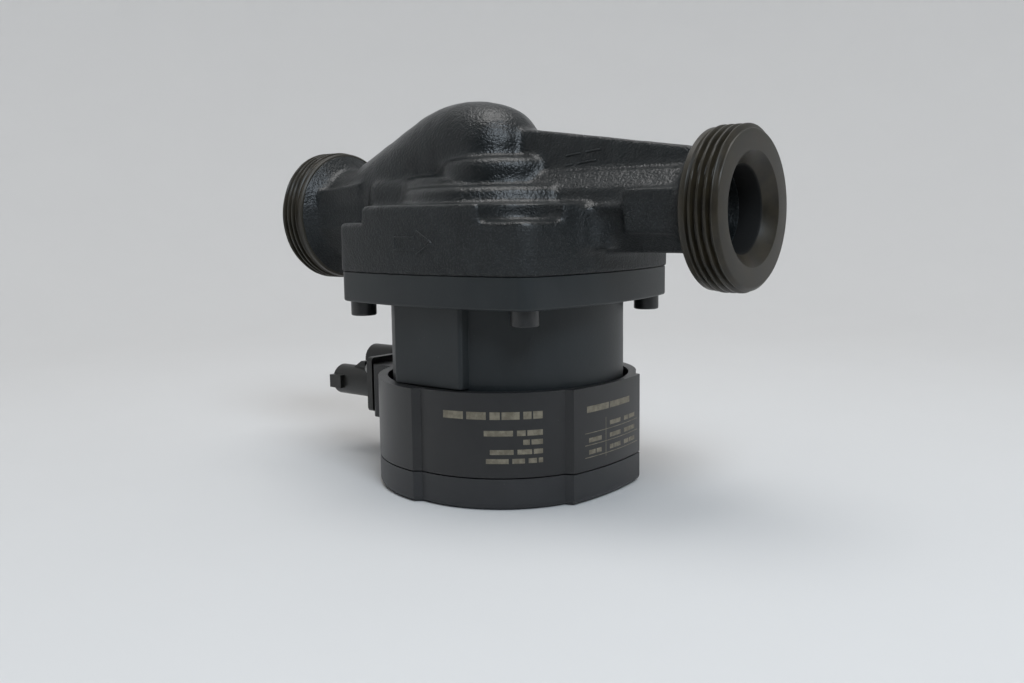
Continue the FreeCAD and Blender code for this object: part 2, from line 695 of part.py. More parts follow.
def impeller():
    """Hub, back shroud and backward curved vanes, moulded in one piece."""
    back_top = IMPELLER_BACK_Z + SHROUD_THICKNESS
    vane_top = back_top + VANE_HEIGHT
    solid = cylinder(IMPELLER_R, IMPELLER_BACK_Z, back_top)
    solid = solid.fuse(cylinder(IMPELLER_HUB_R, IMPELLER_BACK_Z, vane_top))
    outer_r = IMPELLER_R - VANE_TIP_INSET
    for i in range(VANE_COUNT):
        start = 360.0 / VANE_COUNT * i
        middle_r = (VANE_INNER_R + outer_r) / 2
        middle = start - VANE_MIDDLE_SHARE * VANE_SWEEP
        inner = [polar(VANE_INNER_R, start), polar(middle_r, middle),
                 polar(outer_r, start - VANE_SWEEP)]
        shift = math.degrees(VANE_THICKNESS / middle_r)
        outer = [polar(VANE_INNER_R, start + VANE_ROOT_LEAD), polar(middle_r, middle + shift),
                 polar(outer_r, start - VANE_SWEEP + shift)]
        edges = [Part.Arc(*inner).toShape(), Part.makeLine(inner[2], outer[2]),
                 Part.Arc(*reversed(outer)).toShape(), Part.makeLine(outer[0], inner[0])]
        vane = extrude(edges, VANE_HEIGHT)
        vane.translate(V(0, 0, back_top))
        solid = solid.fuse(vane)
    return solid.cut(cylinder(SHAFT_R, IMPELLER_BACK_Z - 1, vane_top + 1))


def impeller_shroud():
    """Front shroud with the eye collar that runs inside the neck ring."""
    low = IMPELLER_BACK_Z + SHROUD_THICKNESS + VANE_HEIGHT
    inner_r = EYE_COLLAR_R - EYE_COLLAR_WALL
    disc = tube(IMPELLER_R, inner_r, low, low + SHROUD_THICKNESS)
    return disc.fuse(tube(EYE_COLLAR_R, inner_r, low, EYE_COLLAR_TOP_Z))


def shaft():
    rod = cylinder(SHAFT_R, SHAFT_BOTTOM_Z, SHAFT_TOP_Z)
    return rod.makeChamfer(SHAFT_CHAMFER, edges_at_z(rod, SHAFT_TOP_Z) + edges_at_z(rod, SHAFT_BOTTOM_Z))


def rotor_outer_r():
    return CAN_INNER_R - ROTOR_GAP


def rotor_core():
    outer = rotor_outer_r() - SLEEVE_WALL - MAGNET_THICKNESS
    return tube(outer, SHAFT_R, ROTOR_BOTTOM_Z, ROTOR_BOTTOM_Z + ROTOR_LENGTH)


def rotor_magnets():
    """Curved magnet segments round the core, alternating north and south."""
    outer = rotor_outer_r() - SLEEVE_WALL
    inner = outer - MAGNET_THICKNESS
    span = 360.0 / MAGNET_COUNT - MAGNET_GAP_ANGLE
    pieces = []
    for i in range(MAGNET_COUNT):
        middle = 360.0 / MAGNET_COUNT * i
        a, b = middle - span / 2, middle + span / 2
        z = ROTOR_BOTTOM_Z
        edges = [Part.Arc(polar(outer, a, z), polar(outer, middle, z), polar(outer, b, z)).toShape(),
                 Part.makeLine(polar(outer, b, z), polar(inner, b, z)),
                 Part.Arc(polar(inner, b, z), polar(inner, middle, z), polar(inner, a, z)).toShape(),
                 Part.makeLine(polar(inner, a, z), polar(outer, a, z))]
        pieces.append(extrude(edges, ROTOR_LENGTH))
    return Part.makeCompound(pieces)


def rotor_sleeve():
    outer = rotor_outer_r()
    return tube(outer, outer - SLEEVE_WALL, ROTOR_BOTTOM_Z, ROTOR_BOTTOM_Z + ROTOR_LENGTH)


def rotor_end_rings():
    top = ROTOR_BOTTOM_Z + ROTOR_LENGTH
    outer = rotor_outer_r()
    lower = tube(outer, SHAFT_R, ROTOR_BOTTOM_Z - END_RING_THICKNESS, ROTOR_BOTTOM_Z)
    upper = tube(outer, SHAFT_R, top, top + END_RING_THICKNESS)
    return Part.makeCompound([lower, upper])


def thrust_ring_top_z():
    return FRONT_BEARING_Z - AXIAL_PLAY


def thrust_ring():
    top = thrust_ring_top_z()
    return tube(THRUST_RING_R, SHAFT_R, top - THRUST_RING_THICKNESS, top)


def thrust_cushion():
    top = thrust_ring_top_z() - THRUST_RING_THICKNESS
    return tube(THRUST_RING_R - THRUST_CUSHION_STEP, SHAFT_R, top - THRUST_CUSHION_THICKNESS, top)


def bearing_sleeve(z_low, length):
    return tube(BEARING_OUTER_R, SHAFT_R + BEARING_CLEARANCE, z_low, z_low + length)


def rear_bearing_z():
    return CAN_BOTTOM_Z + CAN_WALL


def rear_bearing():
    return bearing_sleeve(rear_bearing_z(), REAR_BEARING_LENGTH)


def front_bearing():
    return bearing_sleeve(FRONT_BEARING_Z, FRONT_BEARING_LENGTH)


def bearing_plate():
    """Pressed plate that closes the rotor chamber and holds the front bearing in its hub."""
    low = CAN_FLANGE_Z + CAN_WALL
    hub_r = BEARING_OUTER_R + PLATE_HUB_WALL
    plate = cylinder(plate_r(), low, low + PLATE_THICKNESS)
    rim = tube(plate_r(), plate_r() - PLATE_THICKNESS, low, GASKET_TOP_Z)
    hub = cylinder(hub_r, FRONT_BEARING_Z, low + PLATE_THICKNESS)
    solid = plate.fuse([rim, hub])
    solid = solid.cut(cylinder(BEARING_OUTER_R, FRONT_BEARING_Z - 1, FRONT_BEARING_Z + FRONT_BEARING_LENGTH))
    solid = solid.cut(cylinder(SHAFT_R + PLATE_SHAFT_GAP, FRONT_BEARING_Z, low + PLATE_THICKNESS + 1))
    for place in ring_places((hub_r + CAN_INNER_R) / 2, PLATE_HOLE_COUNT):
        solid = solid.cut(cylinder(PLATE_HOLE_R, low - 1, low + PLATE_THICKNESS + 1, place.x, place.y))
    return solid


def rotor_can():
    """Deep drawn cup between the wet rotor and the dry stator."""
    outer = CAN_INNER_R + CAN_WALL
    cup = cylinder(outer, rear_bearing_z() + REAR_BEARING_LENGTH - CAN_KNEE, CAN_FLANGE_Z + CAN_WALL)
    pocket = cylinder(BEARING_OUTER_R + CAN_WALL, CAN_BOTTOM_Z, CAN_FLANGE_Z)
    flange = cylinder(CAN_FLANGE_R, CAN_FLANGE_Z, CAN_FLANGE_Z + CAN_WALL)
    solid = cup.fuse([pocket, flange])
    solid = solid.cut(cylinder(CAN_INNER_R, rear_bearing_z() + REAR_BEARING_LENGTH, CAN_FLANGE_Z + 2))
    return solid.cut(cylinder(BEARING_OUTER_R, rear_bearing_z(), CAN_FLANGE_Z))


def tooth_outline(half_width, inner_r, outer_r, z):
    corners = [V(inner_r, -half_width, z), V(outer_r, -half_width, z),
               V(outer_r, half_width, z), V(inner_r, half_width, z)]
    return Part.Face(Part.makePolygon(corners + [corners[0]]))


def stator_bore_r():
    return CAN_INNER_R + CAN_WALL + STATOR_CAN_GAP


def stator_profile(z, height, yoke_inner_r):
    """Yoke ring with inward teeth, each ending in a curved shoe."""
    bore = stator_bore_r()
    solid = tube(STATOR_R, yoke_inner_r, z, z + height)
    shoes = tube(bore + TOOTH_SHOE_DEPTH, bore, z, z + height)
    pitch = 360.0 / STATOR_TEETH
    for i in range(STATOR_TEETH):
        tooth = tooth_outline(TOOTH_HALF_WIDTH, bore + TOOTH_OVERLAP, yoke_inner_r + TOOTH_OVERLAP, z)
        tooth = tooth.extrude(V(0, 0, height))
        tooth.rotate(V(0, 0, 0), UP, pitch * i)
        gap = block(bore - 2, bore + TOOTH_SHOE_DEPTH + 1, -SLOT_HALF_WIDTH, SLOT_HALF_WIDTH, z, z + height)
        gap.rotate(V(0, 0, 0), UP, pitch * (i + 0.5))
        shoes = shoes.cut(gap)
        solid = solid.fuse(tooth)
    return solid.fuse(shoes)


def stator_core():
    return stator_profile(STATOR_BOTTOM_Z, STATOR_STACK, STATOR_R - YOKE_THICKNESS)


def bobbin(z_low, z_high):
    """Moulded insulator of the same outline as the stack, with a wall behind the coils."""
    yoke_inner = STATOR_R - YOKE_THICKNESS
    base = stator_profile(z_low, z_high - z_low, yoke_inner)
    return base.common(tube(STATOR_R - BOBBIN_INSET, stator_bore_r(), z_low, z_high))


def front_insulator():
    top = STATOR_BOTTOM_Z + STATOR_STACK
    return bobbin(top, top + BOBBIN_THICKNESS)


def rear_insulator():
    return bobbin(STATOR_BOTTOM_Z - BOBBIN_THICKNESS, STATOR_BOTTOM_Z)


def stator_windings():
    """One coil round each tooth, as a rounded rectangular loop."""
    inner = stator_bore_r() + TOOTH_SHOE_DEPTH + COIL_GAP
    outer = STATOR_R - YOKE_THICKNESS - COIL_GAP
    half = TOOTH_HALF_WIDTH + COIL_GAP
    low = STATOR_BOTTOM_Z - BOBBIN_THICKNESS
    high = STATOR_BOTTOM_Z + STATOR_STACK + BOBBIN_THICKNESS
    coils = []
    for i in range(STATOR_TEETH):
        loop = block(inner, outer, -half - COIL_SIDE, half + COIL_SIDE, low - COIL_END, high + COIL_END)
        along = [e for e in loop.Edges if e.BoundBox.XLength > 1 and e.BoundBox.YLength < 1e-5]
        loop = loop.makeFillet(COIL_EDGE_R, along)
        loop = loop.cut(block(inner - 1, outer + 1, -half, half, low, high))
        loop = loop.common(tube(outer, inner, low - COIL_END, high + COIL_END))
        loop.rotate(V(0, 0, 0), UP, 360.0 / STATOR_TEETH * i)
        coils.append(loop)
    return Part.makeCompound(coils)


def terminal_slot(z_low, z_high):
    half_x, half_y = TERMINAL_SLOT_LENGTH / 2, TERMINAL_SLOT_WIDTH / 2
    return rounded_block(-half_x, half_x, TERMINAL_Y - half_y, TERMINAL_Y + half_y,
                         z_low, z_high, TERMINAL_SLOT_CORNER_R)


def heat_block_outline(clearance, z_low, z_high):
    half_x, half_y = HEAT_BLOCK_LENGTH / 2 + clearance, HEAT_BLOCK_WIDTH / 2 + clearance
    return rounded_block(-half_x, half_x, HEAT_BLOCK_Y - half_y, HEAT_BLOCK_Y + half_y,
                         z_low, z_high, HEAT_BLOCK_CORNER_R)


def motor_housing():
    """Aluminium motor shell: square flange, round barrel, closed floor and a flat pad."""
    flange = extrude(flange_outline(0, MOTOR_FLANGE_Z), JOINT_FACE_Z - MOTOR_FLANGE_Z)
    flange = flange.makeFillet(FLANGE_EDGE_R, edges_at_z(flange, MOTOR_FLANGE_Z))
    barrel = cylinder(BARREL_R, BARREL_BOTTOM_Z, JOINT_FACE_Z)
    barrel = barrel.makeChamfer(BARREL_EDGE, edges_at_z(barrel, BARREL_BOTTOM_Z))
    pad = block(-MOTOR_PAD_HALF_WIDTH, MOTOR_PAD_HALF_WIDTH, -MOTOR_PAD_FACE_Y, -(STATOR_R + BARREL_R) / 2,
                BOX_TOP_Z + MOTOR_PAD_FOOT, MOTOR_FLANGE_Z + 2)
    front = [e for e in upright_edges(pad) if e.BoundBox.YMax < -MOTOR_PAD_FACE_Y + 0.01]
    pad = pad.makeFillet(MOTOR_PAD_EDGE_R, front)
    solid = flange.fuse([barrel, pad])
    solid = solid.cut(cylinder(STATOR_R, BARREL_BOTTOM_Z + BARREL_FLOOR, CAN_FLANGE_Z))
    solid = solid.cut(cylinder(CAN_FLANGE_R + SEAT_GAP, CAN_FLANGE_Z, JOINT_FACE_Z))
    solid = solid.cut(terminal_slot(BARREL_BOTTOM_Z, BARREL_BOTTOM_Z + BARREL_FLOOR))
    for x, y in bolt_places():
        solid = solid.cut(cylinder(BOLT_HOLE_R, MOTOR_FLANGE_Z, JOINT_FACE_Z, x, y))
    tap_end = BARREL_BOTTOM_Z + DECK_TAP_DEPTH
    for place in ring_places(DECK_SCREW_CIRCLE_R):
        solid = solid.cut(cylinder(SMALL_TAP_R, BARREL_BOTTOM_Z, tap_end, place.x, place.y))
    return solid


def hexagon(across_flats, z_low, z_high, x, y):
    corner_r = across_flats / math.sqrt(3)
    points = [V(x, y, z_low) + polar(corner_r, 60 * i) for i in range(6)]
    return Part.Face(Part.makePolygon(points + [points[0]])).extrude(V(0, 0, z_high - z_low))


def housing_bolts():
    bolts = []
    head_z = MOTOR_FLANGE_Z - BOLT_HEAD_HEIGHT
    for x, y in bolt_places():
        head = cylinder(BOLT_HEAD_R, head_z, MOTOR_FLANGE_Z, x, y)
        head = head.makeFillet(BOLT_HEAD_EDGE_R, edges_at_z(head, head_z))
        shank = cylinder(BOLT_R, MOTOR_FLANGE_Z, JOINT_FACE_Z + BOLT_REACH, x, y)
        socket = hexagon(BOLT_SOCKET_AF, head_z, head_z + BOLT_SOCKET_DEPTH, x, y)
        bolts.append(head.fuse(shank).cut(socket))
    return Part.makeCompound(bolts)


def small_screw(place, seat_z, tip_z):
    """Pan head screw seen from below: head under seat_z, shank up to tip_z."""
    head = cylinder(SMALL_HEAD_R, seat_z - SMALL_HEAD_HEIGHT, seat_z, place.x, place.y)
    head = head.makeFillet(SMALL_HEAD_EDGE_R, edges_at_z(head, seat_z - SMALL_HEAD_HEIGHT))
    shank = cylinder(SMALL_SCREW_R, seat_z, tip_z, place.x, place.y)
    low = seat_z - SMALL_HEAD_HEIGHT
    reach, half = SMALL_SLOT_R, SMALL_SLOT_HALF_WIDTH
    slot = block(-reach, reach, -half, half, low, low + SMALL_SLOT_DEPTH)
    cross = slot.fuse(block(-half, half, -reach, reach, low, low + SMALL_SLOT_DEPTH))
    cross.translate(V(place.x, place.y, 0))
    return head.fuse(shank).cut(cross)


def box_outline(z):
    """Round box with raised ribs: two crowned front panels, a flatter side and a plain back."""
    def at(radius, azimuth):
        return polar(radius, azimuth - 90, z)

    front, side, step = RIB_FRONT_ANGLE, RIB_SIDE_ANGLE, RIB_STEP_ANGLE
    mid_panel = (front + step + side - step) / 2
    stations = [
        [at(BACK_CREST_R, -90), at(BACK_SHOULDER_R, BACK_SHOULDER_ANGLE), at(RIB_R, front)],
        [at(RIB_R, front), at(PANEL_EDGE_R, front + step)],
        [at(PANEL_EDGE_R, front + step), at(PANEL_CREST_R, mid_panel), at(PANEL_EDGE_R, side - step)],
        [at(PANEL_EDGE_R, side - step), at(RIB_R, side)],
        [at(RIB_R, side), at(SIDE_CREST_R, 90), at(RIB_R, 180 - side)],
    ]
    edges = []
    for points in stations:
        if len(points) == 3:
            edges.append(Part.Arc(*points).toShape())
        else:
            edges.append(Part.makeLine(*points))
    mirrored = [e.mirror(V(0, 0, 0), V(0, 1, 0)) for e in edges[:-1]]
    return Part.Wire(Part.sortEdges(edges + mirrored)[0])


def box_prism(z_low, z_high):
    return Part.Face(box_outline(z_low)).extrude(V(0, 0, z_high - z_low))


def cover_boss_places():
    return ring_places(COVER_SCREW_CIRCLE_R, 4, COVER_SCREW_ANGLE)


def socket_window(clearance):
    """Opening in the box wall behind the socket plate."""
    return block(SOCKET_PLATE_X - 1, -BOX_INNER_R + 6, SOCKET_WINDOW_LOW_Y - clearance,
                 SOCKET_WINDOW_HIGH_Y + clearance, SOCKET_WINDOW_LOW_Z - clearance,
                 SOCKET_WINDOW_TOP_Z + clearance)


def socket_shelf():
    """Boss on the box that carries the socket plate."""
    return rounded_block(SOCKET_PLATE_X, -BACK_CREST_R + SOCKET_BOSS_DEPTH, SOCKET_PLATE_LOW_Y,
                         SOCKET_PLATE_HIGH_Y, SOCKET_BOSS_LOW_Z, BOX_TOP_Z, SOCKET_PLATE_CORNER_R)


def socket_screw_places():
    return [V(SOCKET_PLATE_X, y, z) for y, z in SOCKET_SCREWS]


def cover_boss_top_z():
    """Plane where each boss of the cover meets the boss of the box above it."""
    return SEAM_Z + COVER_TONGUE + COVER_BOSS_RISE


def control_box_body():
    bottom = SEAM_Z + SEAM_GAP / 2
    solid = box_prism(bottom, BOX_TOP_Z)
    solid = solid.fuse(socket_shelf())
    solid = solid.cut(cylinder(RIM_INNER_R, DECK_TOP_Z, BOX_TOP_Z + 1))
    solid = solid.cut(cylinder(BOX_INNER_R, bottom, DECK_BOTTOM_Z))
    for place in cover_boss_places():
        boss = cylinder(COVER_BOSS_R, cover_boss_top_z(), DECK_BOTTOM_Z, place.x, place.y)
        solid = solid.fuse(boss)
    for place in cover_boss_places():
        solid = solid.cut(cylinder(SMALL_TAP_R, bottom, DECK_BOTTOM_Z - COVER_TAP_SPARE, place.x, place.y))
    for place in ring_places(DECK_SCREW_CIRCLE_R):
        solid = solid.cut(cylinder(SMALL_HOLE_R, DECK_BOTTOM_Z, DECK_TOP_Z, place.x, place.y))
    solid = solid.cut(terminal_slot(DECK_BOTTOM_Z, DECK_TOP_Z))
    solid = solid.cut(heat_block_outline(HEAT_BLOCK_GAP, DECK_BOTTOM_Z, DECK_TOP_Z))
    solid = solid.cut(socket_window(0.0))
    for place in socket_screw_places():
        tap_end = SOCKET_PLATE_X + SOCKET_SCREW_BITE + SOCKET_SCREW_SPARE
        solid = solid.cut(pipe_along_x(SOCKET_SCREW_TAP_R, SOCKET_PLATE_X, tap_end, place.y, place.z))
    return solid


def control_box_screws():
    tip = BARREL_BOTTOM_Z + DECK_SCREW_BITE
    screws = [small_screw(place, DECK_BOTTOM_Z, tip) for place in ring_places(DECK_SCREW_CIRCLE_R)]
    return Part.makeCompound(screws)


def cover_seat_z():
    """Face on which the cover screws seat, inside their counterbores."""
    return SMALL_HEAD_HEIGHT + COVER_SCREW_RECESS


def control_box_cover():
    """Moulded cover that forms the standing face, with the button hole and the display window."""
    top = SEAM_Z - SEAM_GAP / 2
    solid = box_prism(0, top)
    solid = solid.makeFillet(COVER_EDGE_R, edges_at_z(solid, 0))
    tongue_r = BOX_INNER_R - TONGUE_CLEARANCE
    solid = solid.fuse(cylinder(tongue_r, top - 1, top + COVER_TONGUE))
    solid = solid.cut(cylinder(tongue_r - COVER_TONGUE_WALL, COVER_FLOOR, top + COVER_TONGUE))
    seat = cover_seat_z()
    for place in cover_boss_places():
        solid = solid.fuse(cylinder(COVER_BOSS_R, COVER_BOSS_FOOT, cover_boss_top_z(), place.x, place.y))
        solid = solid.cut(cylinder(SMALL_HEAD_R + COVER_SCREW_WELL_GAP, 0, seat, place.x, place.y))
        solid = solid.cut(cylinder(SMALL_HOLE_R, seat, cover_boss_top_z(), place.x, place.y))
    solid = solid.cut(cylinder(BUTTON_R + BUTTON_CLEARANCE, 0, COVER_FLOOR, 0, BUTTON_Y))
    solid = solid.cut(window_block(0, COVER_FLOOR))
    return solid


def window_block(z_low, z_high):
    half_x, half_y = WINDOW_LENGTH / 2, WINDOW_WIDTH / 2
    return rounded_block(-half_x, half_x, WINDOW_Y - half_y, WINDOW_Y + half_y,
                         z_low, z_high, WINDOW_CORNER_R)


def cover_screws():
    seat = cover_seat_z()
    screws = [small_screw(place, seat, DECK_BOTTOM_Z - COVER_TIP_SPARE) for place in cover_boss_places()]
    return Part.makeCompound(screws)


def cover_seal():
    """Square section cord in the seam between the cover and the box."""
    low, high = SEAM_Z - SEAM_GAP / 2, SEAM_Z + SEAM_GAP / 2
    inner = BOX_INNER_R + SEAL_GAP
    return tube(inner + COVER_SEAL_WIDTH, inner, low, high)


def motor_seal():
    """Flat ring between the motor floor and the deck; it sits in the rim round the barrel."""
    return tube(RIM_INNER_R - SEAL_GAP, BARREL_R + SEAL_GAP, DECK_TOP_Z, DECK_TOP_Z + MOTOR_SEAL_HEIGHT)


def display_window():
    return window_block(WINDOW_RECESS, COVER_FLOOR)


def mode_button():
    """Round push button with a collar behind the cover that keeps it from falling out."""
    collar_z = COVER_FLOOR + BUTTON_COLLAR_GAP
    collar_top = collar_z + BUTTON_COLLAR_THICKNESS
    cap = cylinder(BUTTON_R, BUTTON_RECESS, collar_top, 0, BUTTON_Y)
    cap = cap.makeFillet(BUTTON_EDGE_R, edges_at_z(cap, BUTTON_RECESS))
    collar = cylinder(BUTTON_R + BUTTON_COLLAR, collar_z, collar_top, 0, BUTTON_Y)
    stem = cylinder(BUTTON_STEM_R, collar_z, switch_plunger_z(), 0, BUTTON_Y)
    return cap.fuse([collar, stem])


def switch_plunger_z():
    return COVER_FLOOR + BUTTON_COLLAR_GAP + BUTTON_COLLAR_THICKNESS + PLUNGER_PLAY


def switch_plunger():
    return cylinder(PLUNGER_R, switch_plunger_z(), switch_plunger_z() + PLUNGER_LENGTH, 0, BUTTON_Y)


def mode_switch():
    """Small push switch on the display board; its plunger has room to travel."""
    low = switch_plunger_z() + BUTTON_TRAVEL + PLUNGER_PLAY
    half = SWITCH_HALF_SIDE
    case = block(-half, half, BUTTON_Y - half, BUTTON_Y + half, low, DISPLAY_BOARD_Z)
    well = cylinder(PLUNGER_R + PLUNGER_PLAY, low, low + PLUNGER_LENGTH, 0, BUTTON_Y)
    return case.cut(well)


def display_board():
    half_x, half_y = DISPLAY_BOARD_LENGTH / 2, DISPLAY_BOARD_WIDTH / 2
    return rounded_block(-half_x, half_x, -half_y, half_y, DISPLAY_BOARD_Z,
                         DISPLAY_BOARD_Z + DISPLAY_BOARD_THICKNESS, DISPLAY_BOARD_CORNER_R)


def status_leds():
    leds = []
    for i in range(LED_COUNT):
        x = (i - (LED_COUNT - 1) / 2) * LED_PITCH
        half = LED_SIDE / 2
        leds.append(block(x - half, x + half, WINDOW_Y - half, WINDOW_Y + half,
                          DISPLAY_BOARD_Z - LED_HEIGHT, DISPLAY_BOARD_Z))
    return Part.makeCompound(leds)


def board_pillars():
    """Pillars that hold the display board off the cover and the main board off the deck."""
    x = DISPLAY_BOARD_LENGTH / 2 - PILLAR_INSET
    y = DISPLAY_BOARD_WIDTH / 2 - PILLAR_INSET
    board_top = MAIN_BOARD_Z + BOARD_THICKNESS
    pillars = []
    for sx in (-1, 1):
        for sy in (-1, 1):
            pillars.append(cylinder(DISPLAY_PILLAR_R, COVER_FLOOR, DISPLAY_BOARD_Z, sx * x, sy * y))
    for place in ring_places(MAIN_BOARD_R - PILLAR_INSET, 3, 60.0):
        pillars.append(cylinder(MAIN_PILLAR_R, board_top, DECK_BOTTOM_Z, place.x, place.y))
    return Part.makeCompound(pillars)


def main_board():
    board = cylinder(MAIN_BOARD_R, MAIN_BOARD_Z, MAIN_BOARD_Z + BOARD_THICKNESS)
    for x in terminal_xs():
        hole = cylinder(TERMINAL_HOLE_R, MAIN_BOARD_Z, MAIN_BOARD_Z + BOARD_THICKNESS, x, TERMINAL_Y)
        board = board.cut(hole)
    return board


def terminal_xs():
    return (-TERMINAL_PITCH, 0.0, TERMINAL_PITCH)


def winding_terminals():
    """Three phase pins from the stator insulator down through the grommet to the main board."""
    low, high = MAIN_BOARD_Z - TERMINAL_DROP, BARREL_BOTTOM_Z + BARREL_FLOOR + TERMINAL_RISE
    pins = [cylinder(TERMINAL_PIN_R, low, high, x, TERMINAL_Y) for x in terminal_xs()]
    return Part.makeCompound(pins)


def terminal_grommet():
    top = BARREL_BOTTOM_Z + BARREL_FLOOR
    grommet = terminal_slot(DECK_BOTTOM_Z, top)
    for x in terminal_xs():
        grommet = grommet.cut(cylinder(TERMINAL_PIN_R, DECK_BOTTOM_Z, top, x, TERMINAL_Y))
    return grommet


def heat_block():
    return heat_block_outline(0.0, heat_pad_top_z(), BARREL_BOTTOM_Z)


def heat_pad_top_z():
    return DECK_BOTTOM_Z - HEAT_BLOCK_DROP


def heat_pad():
    half_x, half_y = HEAT_BLOCK_LENGTH / 2, HEAT_BLOCK_WIDTH / 2
    top = heat_pad_top_z()
    return block(-half_x, half_x, HEAT_BLOCK_Y - half_y, HEAT_BLOCK_Y + half_y, top - HEAT_PAD_THICKNESS, top)


def power_module():
    half_x, half_y = HEAT_BLOCK_LENGTH / 2, HEAT_BLOCK_WIDTH / 2 - MODULE_INSET
    return block(-half_x, half_x, HEAT_BLOCK_Y - half_y, HEAT_BLOCK_Y + half_y,
                 MAIN_BOARD_Z + BOARD_THICKNESS, heat_pad_top_z() - HEAT_PAD_THICKNESS)


def bulk_capacitor():
    """Electrolytic capacitor lying under the main board, with its crimped end."""
    along = V(0, 1, 0)
    end = V(CAPACITOR_X, CAPACITOR_END_Y, MAIN_BOARD_Z - CAPACITOR_R)
    crimp = end + along * CRIMP_PLACE
    can = Part.makeCylinder(CAPACITOR_R, CAPACITOR_LENGTH, end, along)
    groove = Part.makeCylinder(CAPACITOR_R, CRIMP_WIDTH, crimp, along)
    groove = groove.cut(Part.makeCylinder(CAPACITOR_R - CRIMP_DEPTH, CRIMP_WIDTH, crimp, along))
    return can.cut(groove)


def choke_centre():
    return V(CHOKE_X, CHOKE_Y, MAIN_BOARD_Z - CHOKE_HEIGHT / 2 - CHOKE_WIRE)


def choke_core():
    centre = choke_centre()
    half = CHOKE_HEIGHT / 2
    return tube(CHOKE_OUTER_R, CHOKE_INNER_R, centre.z - half, centre.z + half, centre.x, centre.y)


def choke_windings():
    """Two windings on opposite sides of the ring core."""
    centre = choke_centre()
    inner_r, outer_r = CHOKE_INNER_R - CHOKE_WIRE_GAP, CHOKE_OUTER_R + CHOKE_WIRE_GAP
    half, half_wire = CHOKE_HEIGHT / 2, CHOKE_WIRE_WIDTH / 2
    spread = CHOKE_TURN_ANGLE * (CHOKE_TURNS - 1) / 2
    pieces = []
    for middle in (0.0, 180.0):
        for i in range(CHOKE_TURNS):
            turn = middle - spread + CHOKE_TURN_ANGLE * i
            outer = block(inner_r - CHOKE_WIRE, outer_r + CHOKE_WIRE, -half_wire, half_wire,
                          -half - CHOKE_WIRE, half + CHOKE_WIRE)
            loop = outer.cut(block(inner_r, outer_r, -half_wire, half_wire, -half, half))
            loop.rotate(V(0, 0, 0), UP, turn)
            loop.translate(centre)
            pieces.append(loop)
    return Part.makeCompound(pieces)


def film_capacitor():
    half_x, half_y = FILM_CAPACITOR_LENGTH / 2, FILM_CAPACITOR_WIDTH / 2
    return rounded_block(FILM_CAPACITOR_X - half_x, FILM_CAPACITOR_X + half_x,
                         FILM_CAPACITOR_Y - half_y, FILM_CAPACITOR_Y + half_y,
                         MAIN_BOARD_Z - FILM_CAPACITOR_HEIGHT, MAIN_BOARD_Z, FILM_CAPACITOR_EDGE_R)


def connector_block():
    """One moulding with both round sockets, their latch ramp, shelf and mounting plate."""
    plate_outer = SOCKET_PLATE_X - SOCKET_PLATE_THICKNESS
    plate = rounded_along_x(plate_outer, SOCKET_PLATE_X, SOCKET_PLATE_LOW_Y, SOCKET_PLATE_HIGH_Y,
                            SOCKET_PLATE_LOW_Z, SOCKET_PLATE_TOP_Z, SOCKET_PLATE_CORNER_R)
    power = pipe_along_x(SOCKET_R, SOCKET_END_X, SOCKET_PLATE_X, POWER_SOCKET_Y, POWER_SOCKET_Z)
    signal = pipe_along_x(SOCKET_R, SOCKET_END_X, SOCKET_PLATE_X, SIGNAL_SOCKET_Y, SIGNAL_SOCKET_Z)
    shelf = block(SOCKET_PLATE_X - SOCKET_SHELF_LENGTH, SOCKET_PLATE_X, POWER_SOCKET_Y + RAMP_HALF_WIDTH,
                  SIGNAL_SOCKET_Y, SOCKET_SHELF_Z - SOCKET_SHELF_THICKNESS, SOCKET_SHELF_Z)
    window_fill = socket_window(-SOCKET_WINDOW_GAP)
    window_fill = window_fill.common(block(SOCKET_PLATE_X, -BACK_CREST_R + SOCKET_PLUG_DEPTH,
                                           SOCKET_PLATE_LOW_Y, SOCKET_PLATE_HIGH_Y, 0, BOX_TOP_Z))
    solid = plate.fuse([power, signal, shelf, latch_ramp(), plug_key(), window_fill])
    mouth_end = SOCKET_END_X + SOCKET_MOUTH_DEPTH
    for y, z in ((POWER_SOCKET_Y, POWER_SOCKET_Z), (SIGNAL_SOCKET_Y, SIGNAL_SOCKET_Z)):
        solid = solid.cut(pipe_along_x(SOCKET_BORE_R, SOCKET_END_X, mouth_end, y, z))
        solid = solid.cut(pipe_along_x(SOCKET_WELL_R, mouth_end, SOCKET_FLOOR_X, y, z))
    for place in power_pin_places() + signal_pin_places():
        solid = solid.cut(pipe_along_x(PIN_R, SOCKET_FLOOR_X, SOCKET_PLATE_X, place.y, place.z))
    for place in socket_screw_places():
        solid = solid.cut(pipe_along_x(SOCKET_SCREW_HOLE_R, plate_outer, SOCKET_PLATE_X, place.y, place.z))
    return solid


def latch_ramp():
    """Sloping catch on top of the power socket that the plug's latch snaps over."""
    top = POWER_SOCKET_Z + SOCKET_R
    start = SOCKET_END_X + RAMP_START
    outline = [(start, -RAMP_SINK), (start + RAMP_LENGTH, RAMP_RISE),
               (start + RAMP_LENGTH + RAMP_LAND, RAMP_RISE), (start + RAMP_LENGTH + RAMP_LAND, -RAMP_SINK)]
    points = [V(x, POWER_SOCKET_Y - RAMP_HALF_WIDTH, top + rise) for x, rise in outline]
    return Part.Face(Part.makePolygon(points + [points[0]])).extrude(V(0, 2 * RAMP_HALF_WIDTH, 0))


def plug_key():
    """Flat key on the side of the power socket, so that the plug enters one way round."""
    side = POWER_SOCKET_Y - SOCKET_R
    return block(SOCKET_END_X, SOCKET_END_X + KEY_LENGTH, side - KEY_RISE, side + KEY_SINK,
                 POWER_SOCKET_Z - KEY_HALF_WIDTH, POWER_SOCKET_Z + KEY_HALF_WIDTH)


